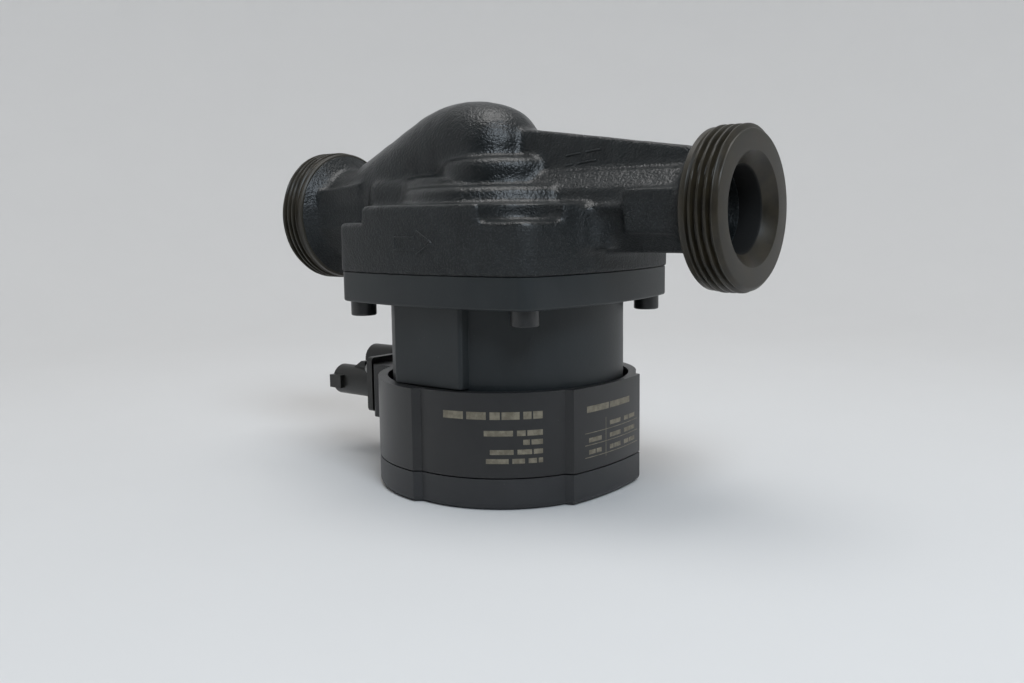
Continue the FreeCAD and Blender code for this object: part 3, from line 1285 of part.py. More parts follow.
def rounded_along_x(x_low, x_high, y_low, y_high, z_low, z_high, edge_r):
    solid = block(x_low, x_high, y_low, y_high, z_low, z_high)
    along = [e for e in solid.Edges if e.BoundBox.YLength < 1e-5 and e.BoundBox.ZLength < 1e-5]
    return solid.makeFillet(edge_r, along)


def power_pin_places():
    spots = ring_places(POWER_PIN_CIRCLE_R, 3, 90.0)
    return [V(0, POWER_SOCKET_Y + spot.x, POWER_SOCKET_Z + spot.y) for spot in spots]


def signal_pin_places():
    return [V(0, SIGNAL_SOCKET_Y + side * SIGNAL_PIN_PITCH / 2, SIGNAL_SOCKET_Z) for side in (-1, 1)]


def socket_pins(places):
    pins = []
    for place in places:
        pin = pipe_along_x(PIN_R, SOCKET_FLOOR_X - PIN_LENGTH, SOCKET_PLATE_X, place.y, place.z)
        tip = [e for e in pin.Edges if abs(e.BoundBox.XMax - (SOCKET_FLOOR_X - PIN_LENGTH)) < 1e-5]
        pins.append(pin.makeChamfer(PIN_CHAMFER, tip))
    return Part.makeCompound(pins)


def power_pins():
    return socket_pins(power_pin_places())


def signal_pins():
    return socket_pins(signal_pin_places())


def connector_screws():
    outer = SOCKET_PLATE_X - SOCKET_PLATE_THICKNESS
    screws = []
    for place in socket_screw_places():
        low = outer - SOCKET_SCREW_HEAD_HEIGHT
        head = pipe_along_x(SOCKET_SCREW_HEAD_R, low, outer, place.y, place.z)
        shank = pipe_along_x(SOCKET_SCREW_R, outer, SOCKET_PLATE_X + SOCKET_SCREW_BITE, place.y, place.z)
        slot = block(low, low + SOCKET_SCREW_SLOT_DEPTH,
                     place.y - SOCKET_SCREW_SLOT_REACH, place.y + SOCKET_SCREW_SLOT_REACH,
                     place.z - SOCKET_SCREW_SLOT_HALF_WIDTH, place.z + SOCKET_SCREW_SLOT_HALF_WIDTH)
        screws.append(head.fuse(shank).cut(slot))
    return Part.makeCompound(screws)


NODES = {
    "pump_housing": pump_housing,
    "inlet_port": inlet_port,
    "outlet_port": outlet_port,
    "neck_ring": neck_ring,
    "housing_gasket": housing_gasket,
    "impeller": impeller,
    "impeller_shroud": impeller_shroud,
    "shaft": shaft,
    "rotor_core": rotor_core,
    "rotor_magnets": rotor_magnets,
    "rotor_sleeve": rotor_sleeve,
    "rotor_end_rings": rotor_end_rings,
    "thrust_ring": thrust_ring,
    "thrust_cushion": thrust_cushion,
    "front_bearing": front_bearing,
    "rear_bearing": rear_bearing,
    "bearing_plate": bearing_plate,
    "rotor_can": rotor_can,
    "stator_core": stator_core,
    "front_insulator": front_insulator,
    "rear_insulator": rear_insulator,
    "stator_windings": stator_windings,
    "motor_housing": motor_housing,
    "housing_bolts": housing_bolts,
    "winding_terminals": winding_terminals,
    "terminal_grommet": terminal_grommet,
    "motor_seal": motor_seal,
    "control_box_body": control_box_body,
    "control_box_screws": control_box_screws,
    "control_box_cover": control_box_cover,
    "cover_seal": cover_seal,
    "cover_screws": cover_screws,
    "display_window": display_window,
    "mode_button": mode_button,
    "switch_plunger": switch_plunger,
    "mode_switch": mode_switch,
    "display_board": display_board,
    "status_leds": status_leds,
    "board_pillars": board_pillars,
    "main_board": main_board,
    "heat_block": heat_block,
    "heat_pad": heat_pad,
    "power_module": power_module,
    "bulk_capacitor": bulk_capacitor,
    "choke_core": choke_core,
    "choke_windings": choke_windings,
    "film_capacitor": film_capacitor,
    "connector_block": connector_block,
    "power_pins": power_pins,
    "signal_pins": signal_pins,
    "connector_screws": connector_screws,
}

os.makedirs("parts", exist_ok=True)
for name, make in NODES.items():
    shape = make()
    shape.exportStep("parts/" + name + ".step")
    print(name, len(shape.Solids), round(shape.Volume, 1), shape.isValid())
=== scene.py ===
import json
import math
import random

import bmesh
import bpy
import numpy as np
from mathutils import Matrix, Vector, noise
from mathutils.bvhtree import BVHTree


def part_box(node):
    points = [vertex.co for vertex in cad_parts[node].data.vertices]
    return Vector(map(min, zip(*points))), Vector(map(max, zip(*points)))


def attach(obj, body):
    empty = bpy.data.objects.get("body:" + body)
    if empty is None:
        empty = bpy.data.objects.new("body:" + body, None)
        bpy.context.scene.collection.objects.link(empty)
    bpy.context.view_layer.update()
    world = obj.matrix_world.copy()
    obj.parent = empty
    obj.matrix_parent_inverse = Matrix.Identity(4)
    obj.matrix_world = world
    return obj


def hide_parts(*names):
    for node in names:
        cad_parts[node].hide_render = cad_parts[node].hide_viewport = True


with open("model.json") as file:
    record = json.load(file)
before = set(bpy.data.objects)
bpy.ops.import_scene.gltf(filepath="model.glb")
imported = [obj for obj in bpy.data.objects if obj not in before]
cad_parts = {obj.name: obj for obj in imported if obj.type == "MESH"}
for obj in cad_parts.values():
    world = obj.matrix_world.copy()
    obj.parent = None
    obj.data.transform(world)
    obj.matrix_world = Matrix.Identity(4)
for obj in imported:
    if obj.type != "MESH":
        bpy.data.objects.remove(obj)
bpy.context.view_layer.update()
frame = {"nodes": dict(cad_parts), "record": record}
MM = 0.001


# --- Pump housing ------------------------------------------------------------
# One grey iron casting with the square flange, the stepped volute, the suction dome and the necks.
# It is cast in sand, so inside corners have wide fillets, and it is sprayed dark slate all over.

CAST_SPACING = 0.85 * MM
CAST_EDGE_PASSES = 3
CAST_FILLET_PASSES = 16
CAST_WAVE_SIZE = 4.5 * MM
CAST_WAVE_DEPTH = 0.13 * MM
JOINT_FACE_SHARP = 0.3 * MM
JOINT_FACE_BAND = 2.0 * MM
PORT_SHOULDER = 1.6 * MM
PAINT_DARK = (0.0066, 0.0084, 0.0090, 1)
PAINT_LIGHT = (0.0130, 0.0154, 0.0162, 1)
PAINT_THIN = (0.036, 0.040, 0.041, 1)

CASTING_NODES = ("pump_housing", "inlet_port", "outlet_port")

housing_low, housing_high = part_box("pump_housing")
mounts = {mount["name"]: mount for mount in frame["record"]["mounts"]}
thread_length = mounts["outlet_thread"]["dims"]["length_mm"] * MM
thread_r = mounts["outlet_thread"]["dims"]["r_mm"] * MM
bore_r = mounts["outlet_bore"]["dims"]["r_mm"] * MM
face_x, _, pipe_z = mounts["outlet_thread"]["pos_m"]
casting_end_x = face_x - thread_length - PORT_SHOULDER


class Reading:
    """A value, vector or colour that changes over a surface; sums on values add Math nodes."""

    def __init__(self, finish, socket):
        self.finish = finish
        self.socket = socket

    def worked(self, operation, *terms):
        return self.finish.node("ShaderNodeMath", {"operation": operation}, dict(enumerate(terms)))

    def __add__(self, other):
        return self.worked("ADD", self, other)

    def __radd__(self, other):
        return self.worked("ADD", other, self)

    def __rsub__(self, other):
        return self.worked("SUBTRACT", other, self)

    def __mul__(self, other):
        return self.worked("MULTIPLY", self, other)

    def __rmul__(self, other):
        return self.worked("MULTIPLY", other, self)

    def ramp(self, low, high):
        """Smooth step from 0 at low to 1 at high."""
        return self.finish.node("ShaderNodeMapRange", {"interpolation_type": "SMOOTHSTEP"},
                                {"Value": self, "From Min": low, "From Max": high})


class Finish:
    """A surface finish: one material, with its constants set on the shader's own sockets."""

    def __init__(self, name, constants):
        self.material = bpy.data.materials.new(name)
        self.material.use_nodes = True
        self.tree = self.material.node_tree
        self.shader = self.tree.nodes["Principled BSDF"]
        for socket, value in constants.items():
            self.shader.inputs[socket].default_value = value
        self.place = self.node("ShaderNodeTexCoord", output="Object")

    def node(self, kind, settings=None, sockets=None, output=0):
        made = self.tree.nodes.new(kind)
        for name, value in (settings or {}).items():
            setattr(made, name, value)
        for name, value in (sockets or {}).items():
            if isinstance(value, Reading):
                self.tree.links.new(value.socket, made.inputs[name])
            else:
                made.inputs[name].default_value = value
        return Reading(self, made.outputs[output])

    def feed(self, socket, reading):
        self.tree.links.new(reading.socket, self.shader.inputs[socket])

    def axis(self, vector, name):
        return self.node("ShaderNodeSeparateXYZ", None, {0: vector}, name)

    def stretched(self, scale):
        return self.node("ShaderNodeVectorMath", {"operation": "MULTIPLY"}, {0: self.place, 1: scale})

    def grain(self, size, detail=2.0, place=None):
        """Cloudy pattern from 0 to 1 with lumps of the given size."""
        return self.node("ShaderNodeTexNoise", None, {
            "Vector": place or self.place, "Scale": 1 / size, "Detail": detail, "Roughness": 0.55})

    def cells(self, size):
        """Distance from scattered points, 0 at each point."""
        return self.node("ShaderNodeTexVoronoi", None, {"Vector": self.place, "Scale": 1 / size}, "Distance")

    def mixed(self, share, first, second):
        return self.node("ShaderNodeMix", {"data_type": "RGBA"}, {0: share, 6: first, 7: second}, 2)

    def relief(self, height, depth, under=None):
        sockets = {"Height": height, "Distance": depth, "Strength": 1.0}
        if under:
            sockets["Normal"] = under
        return self.node("ShaderNodeBump", None, sockets)

    def dress(self, piece):
        piece.data.materials.clear()
        piece.data.materials.append(self.material)


def new_piece(name, mesh, body="pump_body"):
    piece = bpy.data.objects.new(name, mesh)
    bpy.context.scene.collection.objects.link(piece)
    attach(piece, body)
    return piece


def welded(*nodes):
    """Editable copy of CAD nodes' meshes with their seams joined and their flat faces whole."""
    form = bmesh.new()
    for node in nodes:
        form.from_mesh(frame["nodes"][node].data)
    bmesh.ops.remove_doubles(form, verts=form.verts, dist=0.002 * MM)
    bmesh.ops.dissolve_limit(form, angle_limit=math.radians(0.2), verts=form.verts, edges=form.edges)
    mesh = bpy.data.meshes.new(nodes[0] + "_copy")
    form.to_mesh(mesh)
    form.free()
    return mesh


def settle(piece):
    """Makes the modifiers' result the piece's own mesh."""
    result = piece.evaluated_get(bpy.context.evaluated_depsgraph_get())
    piece.data = bpy.data.meshes.new_from_object(result)
    piece.modifiers.clear()


def read_array(items, name, width, kind=float):
    values = np.empty(len(items) * width, kind)
    items.foreach_get(name, values)
    return values.reshape(-1, width) if width > 1 else values


def cast_rounding(mesh, freedom, edge_passes, fillet_passes):
    """Rounds outside edges a little and fills inside corners widely, as a sand mould does."""
    place = read_array(mesh.vertices, "co", 3)
    ends = read_array(mesh.edges, "vertices", 2, int)
    quads = read_array(mesh.loops, "vertex_index", 1, int).reshape(-1, 4)
    count = len(place)
    links = np.bincount(ends.ravel(), minlength=count)

    def gathered(targets, values):
        return np.stack([np.bincount(targets, values[:, k], count) for k in range(3)], 1)

    for turn in range(fillet_passes):
        total = gathered(ends[:, 0], place[ends[:, 1]]) + gathered(ends[:, 1], place[ends[:, 0]])
        pull = total / links[:, None] - place
        across = np.cross(place[quads[:, 2]] - place[quads[:, 0]], place[quads[:, 3]] - place[quads[:, 1]])
        outward = sum(gathered(quads[:, k], across) for k in range(4))
        hollow = (pull * outward).sum(1) > 0
        share = 0.5 * freedom * (hollow | (turn < edge_passes))
        place += pull * share[:, None]
    return place


def cut_square(form, x):
    """Cuts the mesh off beyond x on the pipe axis and closes it with flat faces."""
    everything = form.verts[:] + form.edges[:] + form.faces[:]
    cut = bmesh.ops.bisect_plane(form, geom=everything, plane_co=(x, 0, 0),
                                 plane_no=(math.copysign(1, x), 0, 0), clear_outer=True)
    rim = [item for item in cut["geom_cut"] if isinstance(item, bmesh.types.BMEdge)]
    bmesh.ops.triangle_fill(form, use_beauty=True, edges=rim)


casting = new_piece("housing_casting", welded(*CASTING_NODES))
skin = casting.modifiers.new("skin", "REMESH")
skin.mode = "VOXEL"
skin.voxel_size = CAST_SPACING
settle(casting)
start = read_array(casting.data.vertices, "co", 3)
freedom = np.clip((start[:, 2] - housing_low.z - JOINT_FACE_SHARP) / JOINT_FACE_BAND, 0, 1)
rounded = cast_rounding(casting.data, freedom, CAST_EDGE_PASSES, CAST_FILLET_PASSES)
casting.data.vertices.foreach_set("co", rounded.ravel())
casting.data.update()
lumps = np.array([noise.noise(Vector(point) / CAST_WAVE_SIZE) for point in rounded])
waves = CAST_WAVE_DEPTH * freedom * lumps
waved = rounded + read_array(casting.data.vertices, "normal", 3) * waves[:, None]
casting.data.vertices.foreach_set("co", waved.ravel())
casting.data.update()
form = bmesh.new()
form.from_mesh(casting.data)
cut_square(form, casting_end_x)
cut_square(form, -casting_end_x)
bmesh.ops.recalc_face_normals(form, faces=form.faces)
form.to_mesh(casting.data)
form.free()
casting.data.shade_smooth()
casting.data.set_sharp_from_angle(angle=math.radians(50))

paint = Finish("slate_paint_on_casting", {"IOR": 1.5, "Specular IOR Level": 0.45})
upward = paint.axis(paint.node("ShaderNodeNewGeometry", output="Normal"), "Z")
height = paint.axis(paint.place, "Z")
crown = upward.ramp(0.12, 0.55)
above_flange = height.ramp(housing_low.z + 20 * MM, housing_low.z + 24 * MM)
gloss = crown.worked("MAXIMUM", crown, above_flange * 0.75)
peel = paint.grain(0.90 * MM, 1.5)
sand = paint.grain(0.55 * MM, 2.5)
pits = paint.cells(0.8 * MM).ramp(0.10, 0.5)
patches = paint.grain(7 * MM, 3.0)
thin_paint = paint.node("ShaderNodeNewGeometry", output="Pointiness").ramp(0.53, 0.60)
tone = paint.mixed(patches.ramp(0.3, 0.75), PAINT_DARK, PAINT_LIGHT)
tone = paint.mixed(thin_paint * (0.35 + 0.4 * sand), tone, PAINT_THIN)
rough_wall = 1 - gloss
tone = paint.mixed(rough_wall * sand.ramp(0.50, 0.66) * 0.55, tone, PAINT_THIN)
paint.feed("Base Color", tone)
paint.feed("Roughness", 0.21 + 0.26 * rough_wall + 0.12 * patches + 0.05 * sand)
bumps = paint.relief(sand * (0.35 + 1.4 * rough_wall) + 0.5 * pits * rough_wall, 0.16 * MM)
bumps = paint.relief(peel, 0.26 * MM, bumps)
paint.feed("Normal", bumps)
paint.dress(casting)
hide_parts(*CASTING_NODES)

depsgraph = bpy.context.evaluated_depsgraph_get()
casting_surface = BVHTree.FromObject(casting, depsgraph)


# --- Threaded ports ------------------------------------------------------------
# The ends of the casting are turned on a lathe: a face, a countersink, the bore and the pipe thread.
# The thread is a right-hand G 1 1/2 helix; the cut metal carries a thin brown-black coating.

THREAD_PITCH = 25.4 / 11 * MM
THREAD_DEPTH = 1.40 * MM
FACE_R = 22.3 * MM
SINK_R = 16.4 * MM
SINK_DEPTH = 3.9 * MM
SHOULDER_R = 23.4 * MM
PORT_STEPS_ROUND = 224
PORT_STEP_ALONG = 0.155 * MM
PORT_BACK_OVERLAP = 0.9 * MM
EDGE_BREAK = 0.3 * MM
LEAD_IN_SLOPE = 1.1
RUN_OUT_START = 0.2 * MM
RUN_OUT_LENGTH = 0.9 * MM
CREST_GAIN = 1.32
CREST_DROP = 0.16
COATING_DARK = (0.0135, 0.0110, 0.0066, 1)
COATING_LIGHT = (0.0275, 0.0215, 0.0122, 1)
COATING_WORN = (0.060, 0.055, 0.045, 1)
BORE_SHADE = (0.0015, 0.0015, 0.0014, 1)


def ring_mesh(name, rows, closed=True):
    """Mesh of quads from rows of points that run round an axis; closed joins last row to first."""
    steps = len(rows[0])
    points = [point for row in rows for point in row]
    faces = []
    for i in range(len(rows) if closed else len(rows) - 1):
        here, after = i * steps, (i + 1) % len(rows) * steps
        for k in range(steps):
            faces.append((here + k, here + (k + 1) % steps, after + (k + 1) % steps, after + k))
    mesh = bpy.data.meshes.new(name)
    mesh.from_pydata(points, [], faces)
    tidy = bmesh.new()
    tidy.from_mesh(mesh)
    bmesh.ops.recalc_face_normals(tidy, faces=tidy.faces)
    tidy.to_mesh(mesh)
    tidy.free()
    mesh.shade_smooth()
    mesh.set_sharp_from_angle(angle=math.radians(38))
    return mesh


def thread_height(depth_in, turn):
    """Radius of the helical thread at a distance in from the face, with its run-out."""
    phase = (face_x - depth_in) / THREAD_PITCH - turn / math.tau
    crest = 0.5 + 0.5 * math.cos(math.tau * phase)
    crest = min(1.0, max(0.0, CREST_GAIN * crest - CREST_DROP))
    run_out = min(1.0, max(0.0, (depth_in - thread_length + RUN_OUT_START) / RUN_OUT_LENGTH))
    root = thread_r - THREAD_DEPTH
    cut = root + THREAD_DEPTH * crest
    return cut + (SHOULDER_R - cut) * run_out


def port_rows():
    back = thread_length + PORT_SHOULDER + PORT_BACK_OVERLAP
    shoulder = thread_length + 0.7 * MM
    stations = [(back, bore_r), (SINK_DEPTH + 0.15 * MM, bore_r), (SINK_DEPTH, bore_r + 0.1 * MM),
                (0.25 * MM, SINK_R - 0.1 * MM), (0.0, SINK_R + 0.2 * MM), (0.0, FACE_R - EDGE_BREAK)]
    depth_in = 0.1 * MM
    while depth_in < shoulder:
        stations.append((depth_in, None))
        depth_in += PORT_STEP_ALONG
    stations += [(shoulder + 0.2 * MM, SHOULDER_R), (back - 0.4 * MM, SHOULDER_R),
                 (back, SHOULDER_R - 0.4 * MM)]
    rows = []
    for depth_in, radius in stations:
        row = []
        for k in range(PORT_STEPS_ROUND):
            turn = math.tau * k / PORT_STEPS_ROUND
            reach = radius
            if radius is None:
                lead_in = FACE_R + depth_in * LEAD_IN_SLOPE
                reach = min(thread_height(depth_in, turn), lead_in)
            row.append(Vector((face_x - depth_in, reach * math.cos(turn), reach * math.sin(turn) + pipe_z)))
        rows.append(row)
    return rows


coating = Finish("turned_port_coating", {"IOR": 1.45, "Specular IOR Level": 0.42})
from_axis = coating.node("ShaderNodeVectorMath", {"operation": "SUBTRACT"},
                         {0: coating.place, 1: (0, 0, pipe_z)})
flat_place = coating.node("ShaderNodeVectorMath", {"operation": "MULTIPLY"}, {0: from_axis, 1: (0, 1, 1)})
radius_here = coating.node("ShaderNodeVectorMath", {"operation": "LENGTH"}, {0: flat_place}, "Value")
rings_place = coating.node("ShaderNodeCombineXYZ", None,
                           {0: radius_here, 1: coating.axis(coating.place, "X"), 2: 0.0})
rings = coating.grain(0.22 * MM, 3.0, rings_place)
blotches = coating.grain(6 * MM, 3.0)
specks = coating.cells(1.3 * MM).ramp(0.16, 0.05) * coating.grain(9 * MM).ramp(0.5, 0.62)
worn = coating.node("ShaderNodeNewGeometry", output="Pointiness").ramp(0.515, 0.56)
tone = coating.mixed(blotches.ramp(0.3, 0.7), COATING_DARK, COATING_LIGHT)
tone = coating.mixed(worn * 0.55 + specks * 0.25, tone, COATING_WORN)
# Inside the bore the coating colour is painted near black and its roughness raised: painted shade for the
# deep hole, not a different finish.
bore_painted_shade = radius_here.ramp(bore_r + 0.6 * MM, bore_r + 0.2 * MM)
coating.feed("Base Color", coating.mixed(bore_painted_shade, tone, BORE_SHADE))
coating.feed("Roughness", 0.27 + 0.14 * blotches + 0.10 * rings + 0.4 * bore_painted_shade)
fine_sand = coating.relief(coating.grain(0.3 * MM), 0.012 * MM)
coating.feed("Normal", coating.relief(rings, 0.02 * MM, fine_sand))

outlet_rows = port_rows()
half_turn = Matrix.Rotation(math.pi, 3, "Z")
inlet_rows = [[half_turn @ point for point in row] for row in outlet_rows]
for name, node, rows in (("outlet_port_thread", "outlet_port", outlet_rows),
                         ("inlet_port_thread", "inlet_port", inlet_rows)):
    port = new_piece(name, ring_mesh(name, rows))
    coating.dress(port)
    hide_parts(node)


# --- Raised casting marks ---------------------------------------------------------
# The flow arrow on the flange wall and four plain bars on the rib stand proud of the casting.
# Both are cut into the pattern, so they are part of the casting and carry the same paint.

ARROW_TAIL_X = (-7.8, 0.9)
ARROW_TAIL_Z = (79.5, 83.1)
ARROW_HEAD_BACK_X = 1.5
ARROW_HEAD_Z = (77.9, 85.2)
ARROW_TIP = (7.7, 81.4)
FOUNDRY_BARS = [((29.0, 107.6), (34.5, 108.3)), ((36.2, 108.5), (41.6, 109.1)),
                ((29.4, 104.6), (32.0, 104.9)), ((33.8, 105.1), (40.6, 105.9))]
MARK_LINE_R = 0.42
MARK_SINK = 0.16
MARK_STEP = 0.6
OUTSIDE = 0.08


def wall_point(x, z):
    """Point of the casting's side wall on the -Y side at (x, z), sunk a little, in metres."""
    hit, normal, _, _ = casting_surface.ray_cast(Vector((x * MM, -OUTSIDE, z * MM)), Vector((0, 1, 0)))
    return hit - normal * (MARK_SINK * MM)


def raised_line(name, corners):
    """Half-round bead that follows the wall through the given (x, z) corners."""
    route = []
    for (x0, z0), (x1, z1) in zip(corners, corners[1:]):
        steps = max(1, round(math.hypot(x1 - x0, z1 - z0) / MARK_STEP))
        route += [(x0 + (x1 - x0) * k / steps, z0 + (z1 - z0) * k / steps) for k in range(steps)]
    route.append(corners[-1])
    bead = bpy.data.curves.new(name, "CURVE")
    bead.dimensions = "3D"
    bead.bevel_depth = MARK_LINE_R * MM
    bead.bevel_resolution = 3
    bead.use_fill_caps = True
    spline = bead.splines.new("POLY")
    spline.points.add(len(route) - 1)
    for point, (x, z) in zip(spline.points, route):
        point.co = (*wall_point(x, z), 1)
    carrier = bpy.data.objects.new(name + "_bead", bead)
    bpy.context.scene.collection.objects.link(carrier)
    mesh = bpy.data.meshes.new_from_object(carrier.evaluated_get(bpy.context.evaluated_depsgraph_get()))
    bpy.data.objects.remove(carrier)
    mesh.shade_smooth()
    piece = new_piece(name, mesh)
    paint.dress(piece)
    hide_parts("pump_housing")


tail_back, tail_front = ARROW_TAIL_X
tail_low, tail_high = ARROW_TAIL_Z
head_low, head_high = ARROW_HEAD_Z
raised_line("flow_arrow_tail", [(tail_front, tail_low), (tail_back, tail_low), (tail_back, tail_high),
                                (tail_front, tail_high)])
raised_line("flow_arrow_head", [(ARROW_HEAD_BACK_X, head_high), ARROW_TIP, (ARROW_HEAD_BACK_X, head_low)])
for number, bar in enumerate(FOUNDRY_BARS, 1):
    raised_line(f"foundry_bar_{number}", bar)


# --- Inner parts of the pump head ---------------------------------------------------
# A stainless wear ring is pressed into the casting round the impeller's eye; a rubber gasket seals
# the joint.  The impeller and its front shroud are moulded from glass-filled plastic and welded.

def drawn_steel(name, colour, roughness, streak=(1, 1, 0.06)):
    """Drawn or turned bright metal with fine streaks in one direction."""
    metal = Finish(name, {"Metallic": 1.0})
    streaks = metal.grain(0.25 * MM, 3.0, metal.stretched(streak))
    clouds = metal.grain(5 * MM, 3.0)
    bright = tuple(min(1.0, c * 1.15) for c in colour[:3]) + (1,)
    metal.feed("Base Color", metal.mixed(clouds.ramp(0.3, 0.7), colour, bright))
    metal.feed("Roughness", roughness - 0.05 + 0.12 * streaks + 0.08 * clouds)
    metal.feed("Normal", metal.relief(streaks, 0.01 * MM))
    return metal


def moulding(name, colour, roughness, grain_size=0.35 * MM, grain_depth=0.03 * MM, lift=1.35):
    """Moulded plastic, rubber or ceramic with a fine eroded grain and slight cloudiness."""
    plastic = Finish(name, {"IOR": 1.46})
    grain = plastic.grain(grain_size, 2.0)
    clouds = plastic.grain(9 * MM, 3.0)
    light = tuple(min(1.0, c * lift) for c in colour[:3]) + (1,)
    plastic.feed("Base Color", plastic.mixed(clouds.ramp(0.25, 0.8) * 0.6 + grain * 0.4, colour, light))
    plastic.feed("Roughness", roughness - 0.06 + 0.08 * grain + 0.08 * clouds)
    plastic.feed("Normal", plastic.relief(grain, grain_depth))
    return plastic


def dress_nodes(finish, *names):
    """Gives carried-over CAD nodes their finish in every material slot."""
    for name in names:
        for slot in frame["nodes"][name].material_slots:
            slot.material = finish.material


stainless = drawn_steel("drawn_stainless", (0.55, 0.54, 0.52, 1), 0.28)
rubber = moulding("black_rubber", (0.012, 0.012, 0.012, 1), 0.62, 0.5 * MM, 0.02 * MM)
dress_nodes(stainless, "neck_ring")
dress_nodes(rubber, "housing_gasket")
dress_nodes(moulding("glass_filled_plastic", (0.045, 0.044, 0.042, 1), 0.45, 0.25 * MM, 0.04 * MM),
            "impeller", "impeller_shroud")


# --- Shaft and rotor ------------------------------------------------------------------
# The shaft is ground steel.  The rotor is a steel core with four magnets, closed by a welded
# stainless sleeve and end rings; a carbon thrust ring on a rubber cushion takes the axial load.

dress_nodes(drawn_steel("ground_shaft_steel", (0.62, 0.62, 0.61, 1), 0.16, (1, 1, 4)), "shaft")
dress_nodes(stainless, "rotor_sleeve", "rotor_end_rings")
dress_nodes(drawn_steel("core_steel", (0.30, 0.30, 0.31, 1), 0.45, (0.1, 0.1, 6)),
            "rotor_core", "stator_core")
dress_nodes(moulding("sintered_magnet", (0.10, 0.10, 0.105, 1), 0.5, 0.15 * MM), "rotor_magnets")
dress_nodes(moulding("carbon", (0.02, 0.02, 0.021, 1), 0.32, 0.2 * MM, 0.01 * MM), "thrust_ring")
dress_nodes(rubber, "thrust_cushion")


# --- Bearings, bearing plate and can ----------------------------------------------------
# Two ceramic sleeves carry the shaft.  The pressed plate holds the front one, and the deep-drawn
# can keeps the water of the rotor space away from the windings.

dress_nodes(moulding("bearing_ceramic", (0.72, 0.69, 0.60, 1), 0.22, 0.12 * MM, 0.005 * MM, 1.1),
            "front_bearing", "rear_bearing")
dress_nodes(stainless, "bearing_plate", "rotor_can")


# --- Stator -----------------------------------------------------------------------------
# Six wound teeth in a laminated ring, insulated by two nylon end pieces; enamelled copper wire.
# Three pins lead the winding ends down through a rubber grommet to the main board.

copper = Finish("enamelled_copper_wire", {"Metallic": 1.0, "Coat Weight": 0.5, "Coat Roughness": 0.2})
wire_turns = copper.node("ShaderNodeTexWave", {"bands_direction": "Z"},
                         {"Vector": copper.place, "Scale": 0.31 / (0.6 * MM), "Distortion": 0.6})
copper.feed("Base Color", copper.mixed(wire_turns, (0.22, 0.07, 0.02, 1), (0.62, 0.25, 0.09, 1)))
copper.feed("Roughness", 0.25 + 0.15 * copper.grain(1.5 * MM))
copper.feed("Normal", copper.relief(wire_turns, 0.12 * MM))
dress_nodes(copper, "stator_windings", "choke_windings")
nylon = moulding("natural_nylon", (0.60, 0.57, 0.48, 1), 0.48, 0.3 * MM, 0.02 * MM, 1.15)
dress_nodes(nylon, "front_insulator", "rear_insulator", "board_pillars")
dress_nodes(drawn_steel("tinned_brass", (0.62, 0.57, 0.42, 1), 0.25), "winding_terminals", "power_pins",
            "signal_pins")
dress_nodes(rubber, "terminal_grommet")


# --- Motor housing ------------------------------------------------------------------------
# Die-cast aluminium shell: square flange, round barrel and a flat face on one side.
# It is smoother than the iron casting and has the same slate colour in a satin coat.

SOFT_EDGE_ANGLE = math.radians(32)


def softened(node, name, width, finish, body="pump_body", segments=3):
    """The CAD node's own shape with every sharp edge rounded by width."""
    piece = new_piece(name, welded(node), body)
    edge = piece.modifiers.new("edge", "BEVEL")
    edge.width = width
    edge.segments = segments
    edge.limit_method = "ANGLE"
    edge.angle_limit = SOFT_EDGE_ANGLE
    even = piece.modifiers.new("even_shading", "WEIGHTED_NORMAL")
    even.keep_sharp = True
    piece.data.shade_smooth()
    settle(piece)
    finish.dress(piece)
    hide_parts(node)
    return piece


shell = Finish("satin_slate_coat", {"IOR": 1.48})
orange_peel = shell.grain(0.7 * MM, 1.5)
clouds = shell.grain(12 * MM, 3.0, shell.stretched((1, 1, 0.5)))
flecks = shell.cells(2.6 * MM).ramp(0.075, 0.035) * shell.grain(14 * MM).ramp(0.48, 0.6)
tone = shell.mixed(clouds.ramp(0.25, 0.8), (0.0130, 0.0165, 0.0180, 1), (0.0195, 0.0235, 0.0250, 1))
shell.feed("Base Color", shell.mixed(flecks * 0.35, tone, (0.12, 0.125, 0.125, 1)))
shell.feed("Roughness", 0.40 + 0.10 * clouds + 0.05 * orange_peel)
shell.feed("Normal", shell.relief(orange_peel, 0.028 * MM))
softened("motor_housing", "motor_shell", 0.45 * MM, shell)


# --- Flange bolts ---------------------------------------------------------------------------
# Four M5 socket head screws hold the motor flange to the casting from below; black oxide steel.

oxide = Finish("black_oxide", {"IOR": 1.6})
clouds = oxide.grain(3 * MM, 3.0)
tone = oxide.mixed(clouds.ramp(0.35, 0.7), (0.0060, 0.0066, 0.0072, 1), (0.0130, 0.0136, 0.0142, 1))
oxide.feed("Base Color", tone)
oxide.feed("Roughness", 0.30 + 0.16 * clouds)
oxide.feed("Normal", oxide.relief(oxide.grain(0.3 * MM, 2.0, oxide.stretched((1, 1, 0.3))), 0.02 * MM))
softened("housing_bolts", "flange_screws", 0.2 * MM, oxide, segments=2)


# --- Control box ----------------------------------------------------------------------------
# The box is moulded in black plastic with a rim round the motor and upright ribs between its
# panels; it is screwed to the motor floor, with a flat rubber ring in the rim.

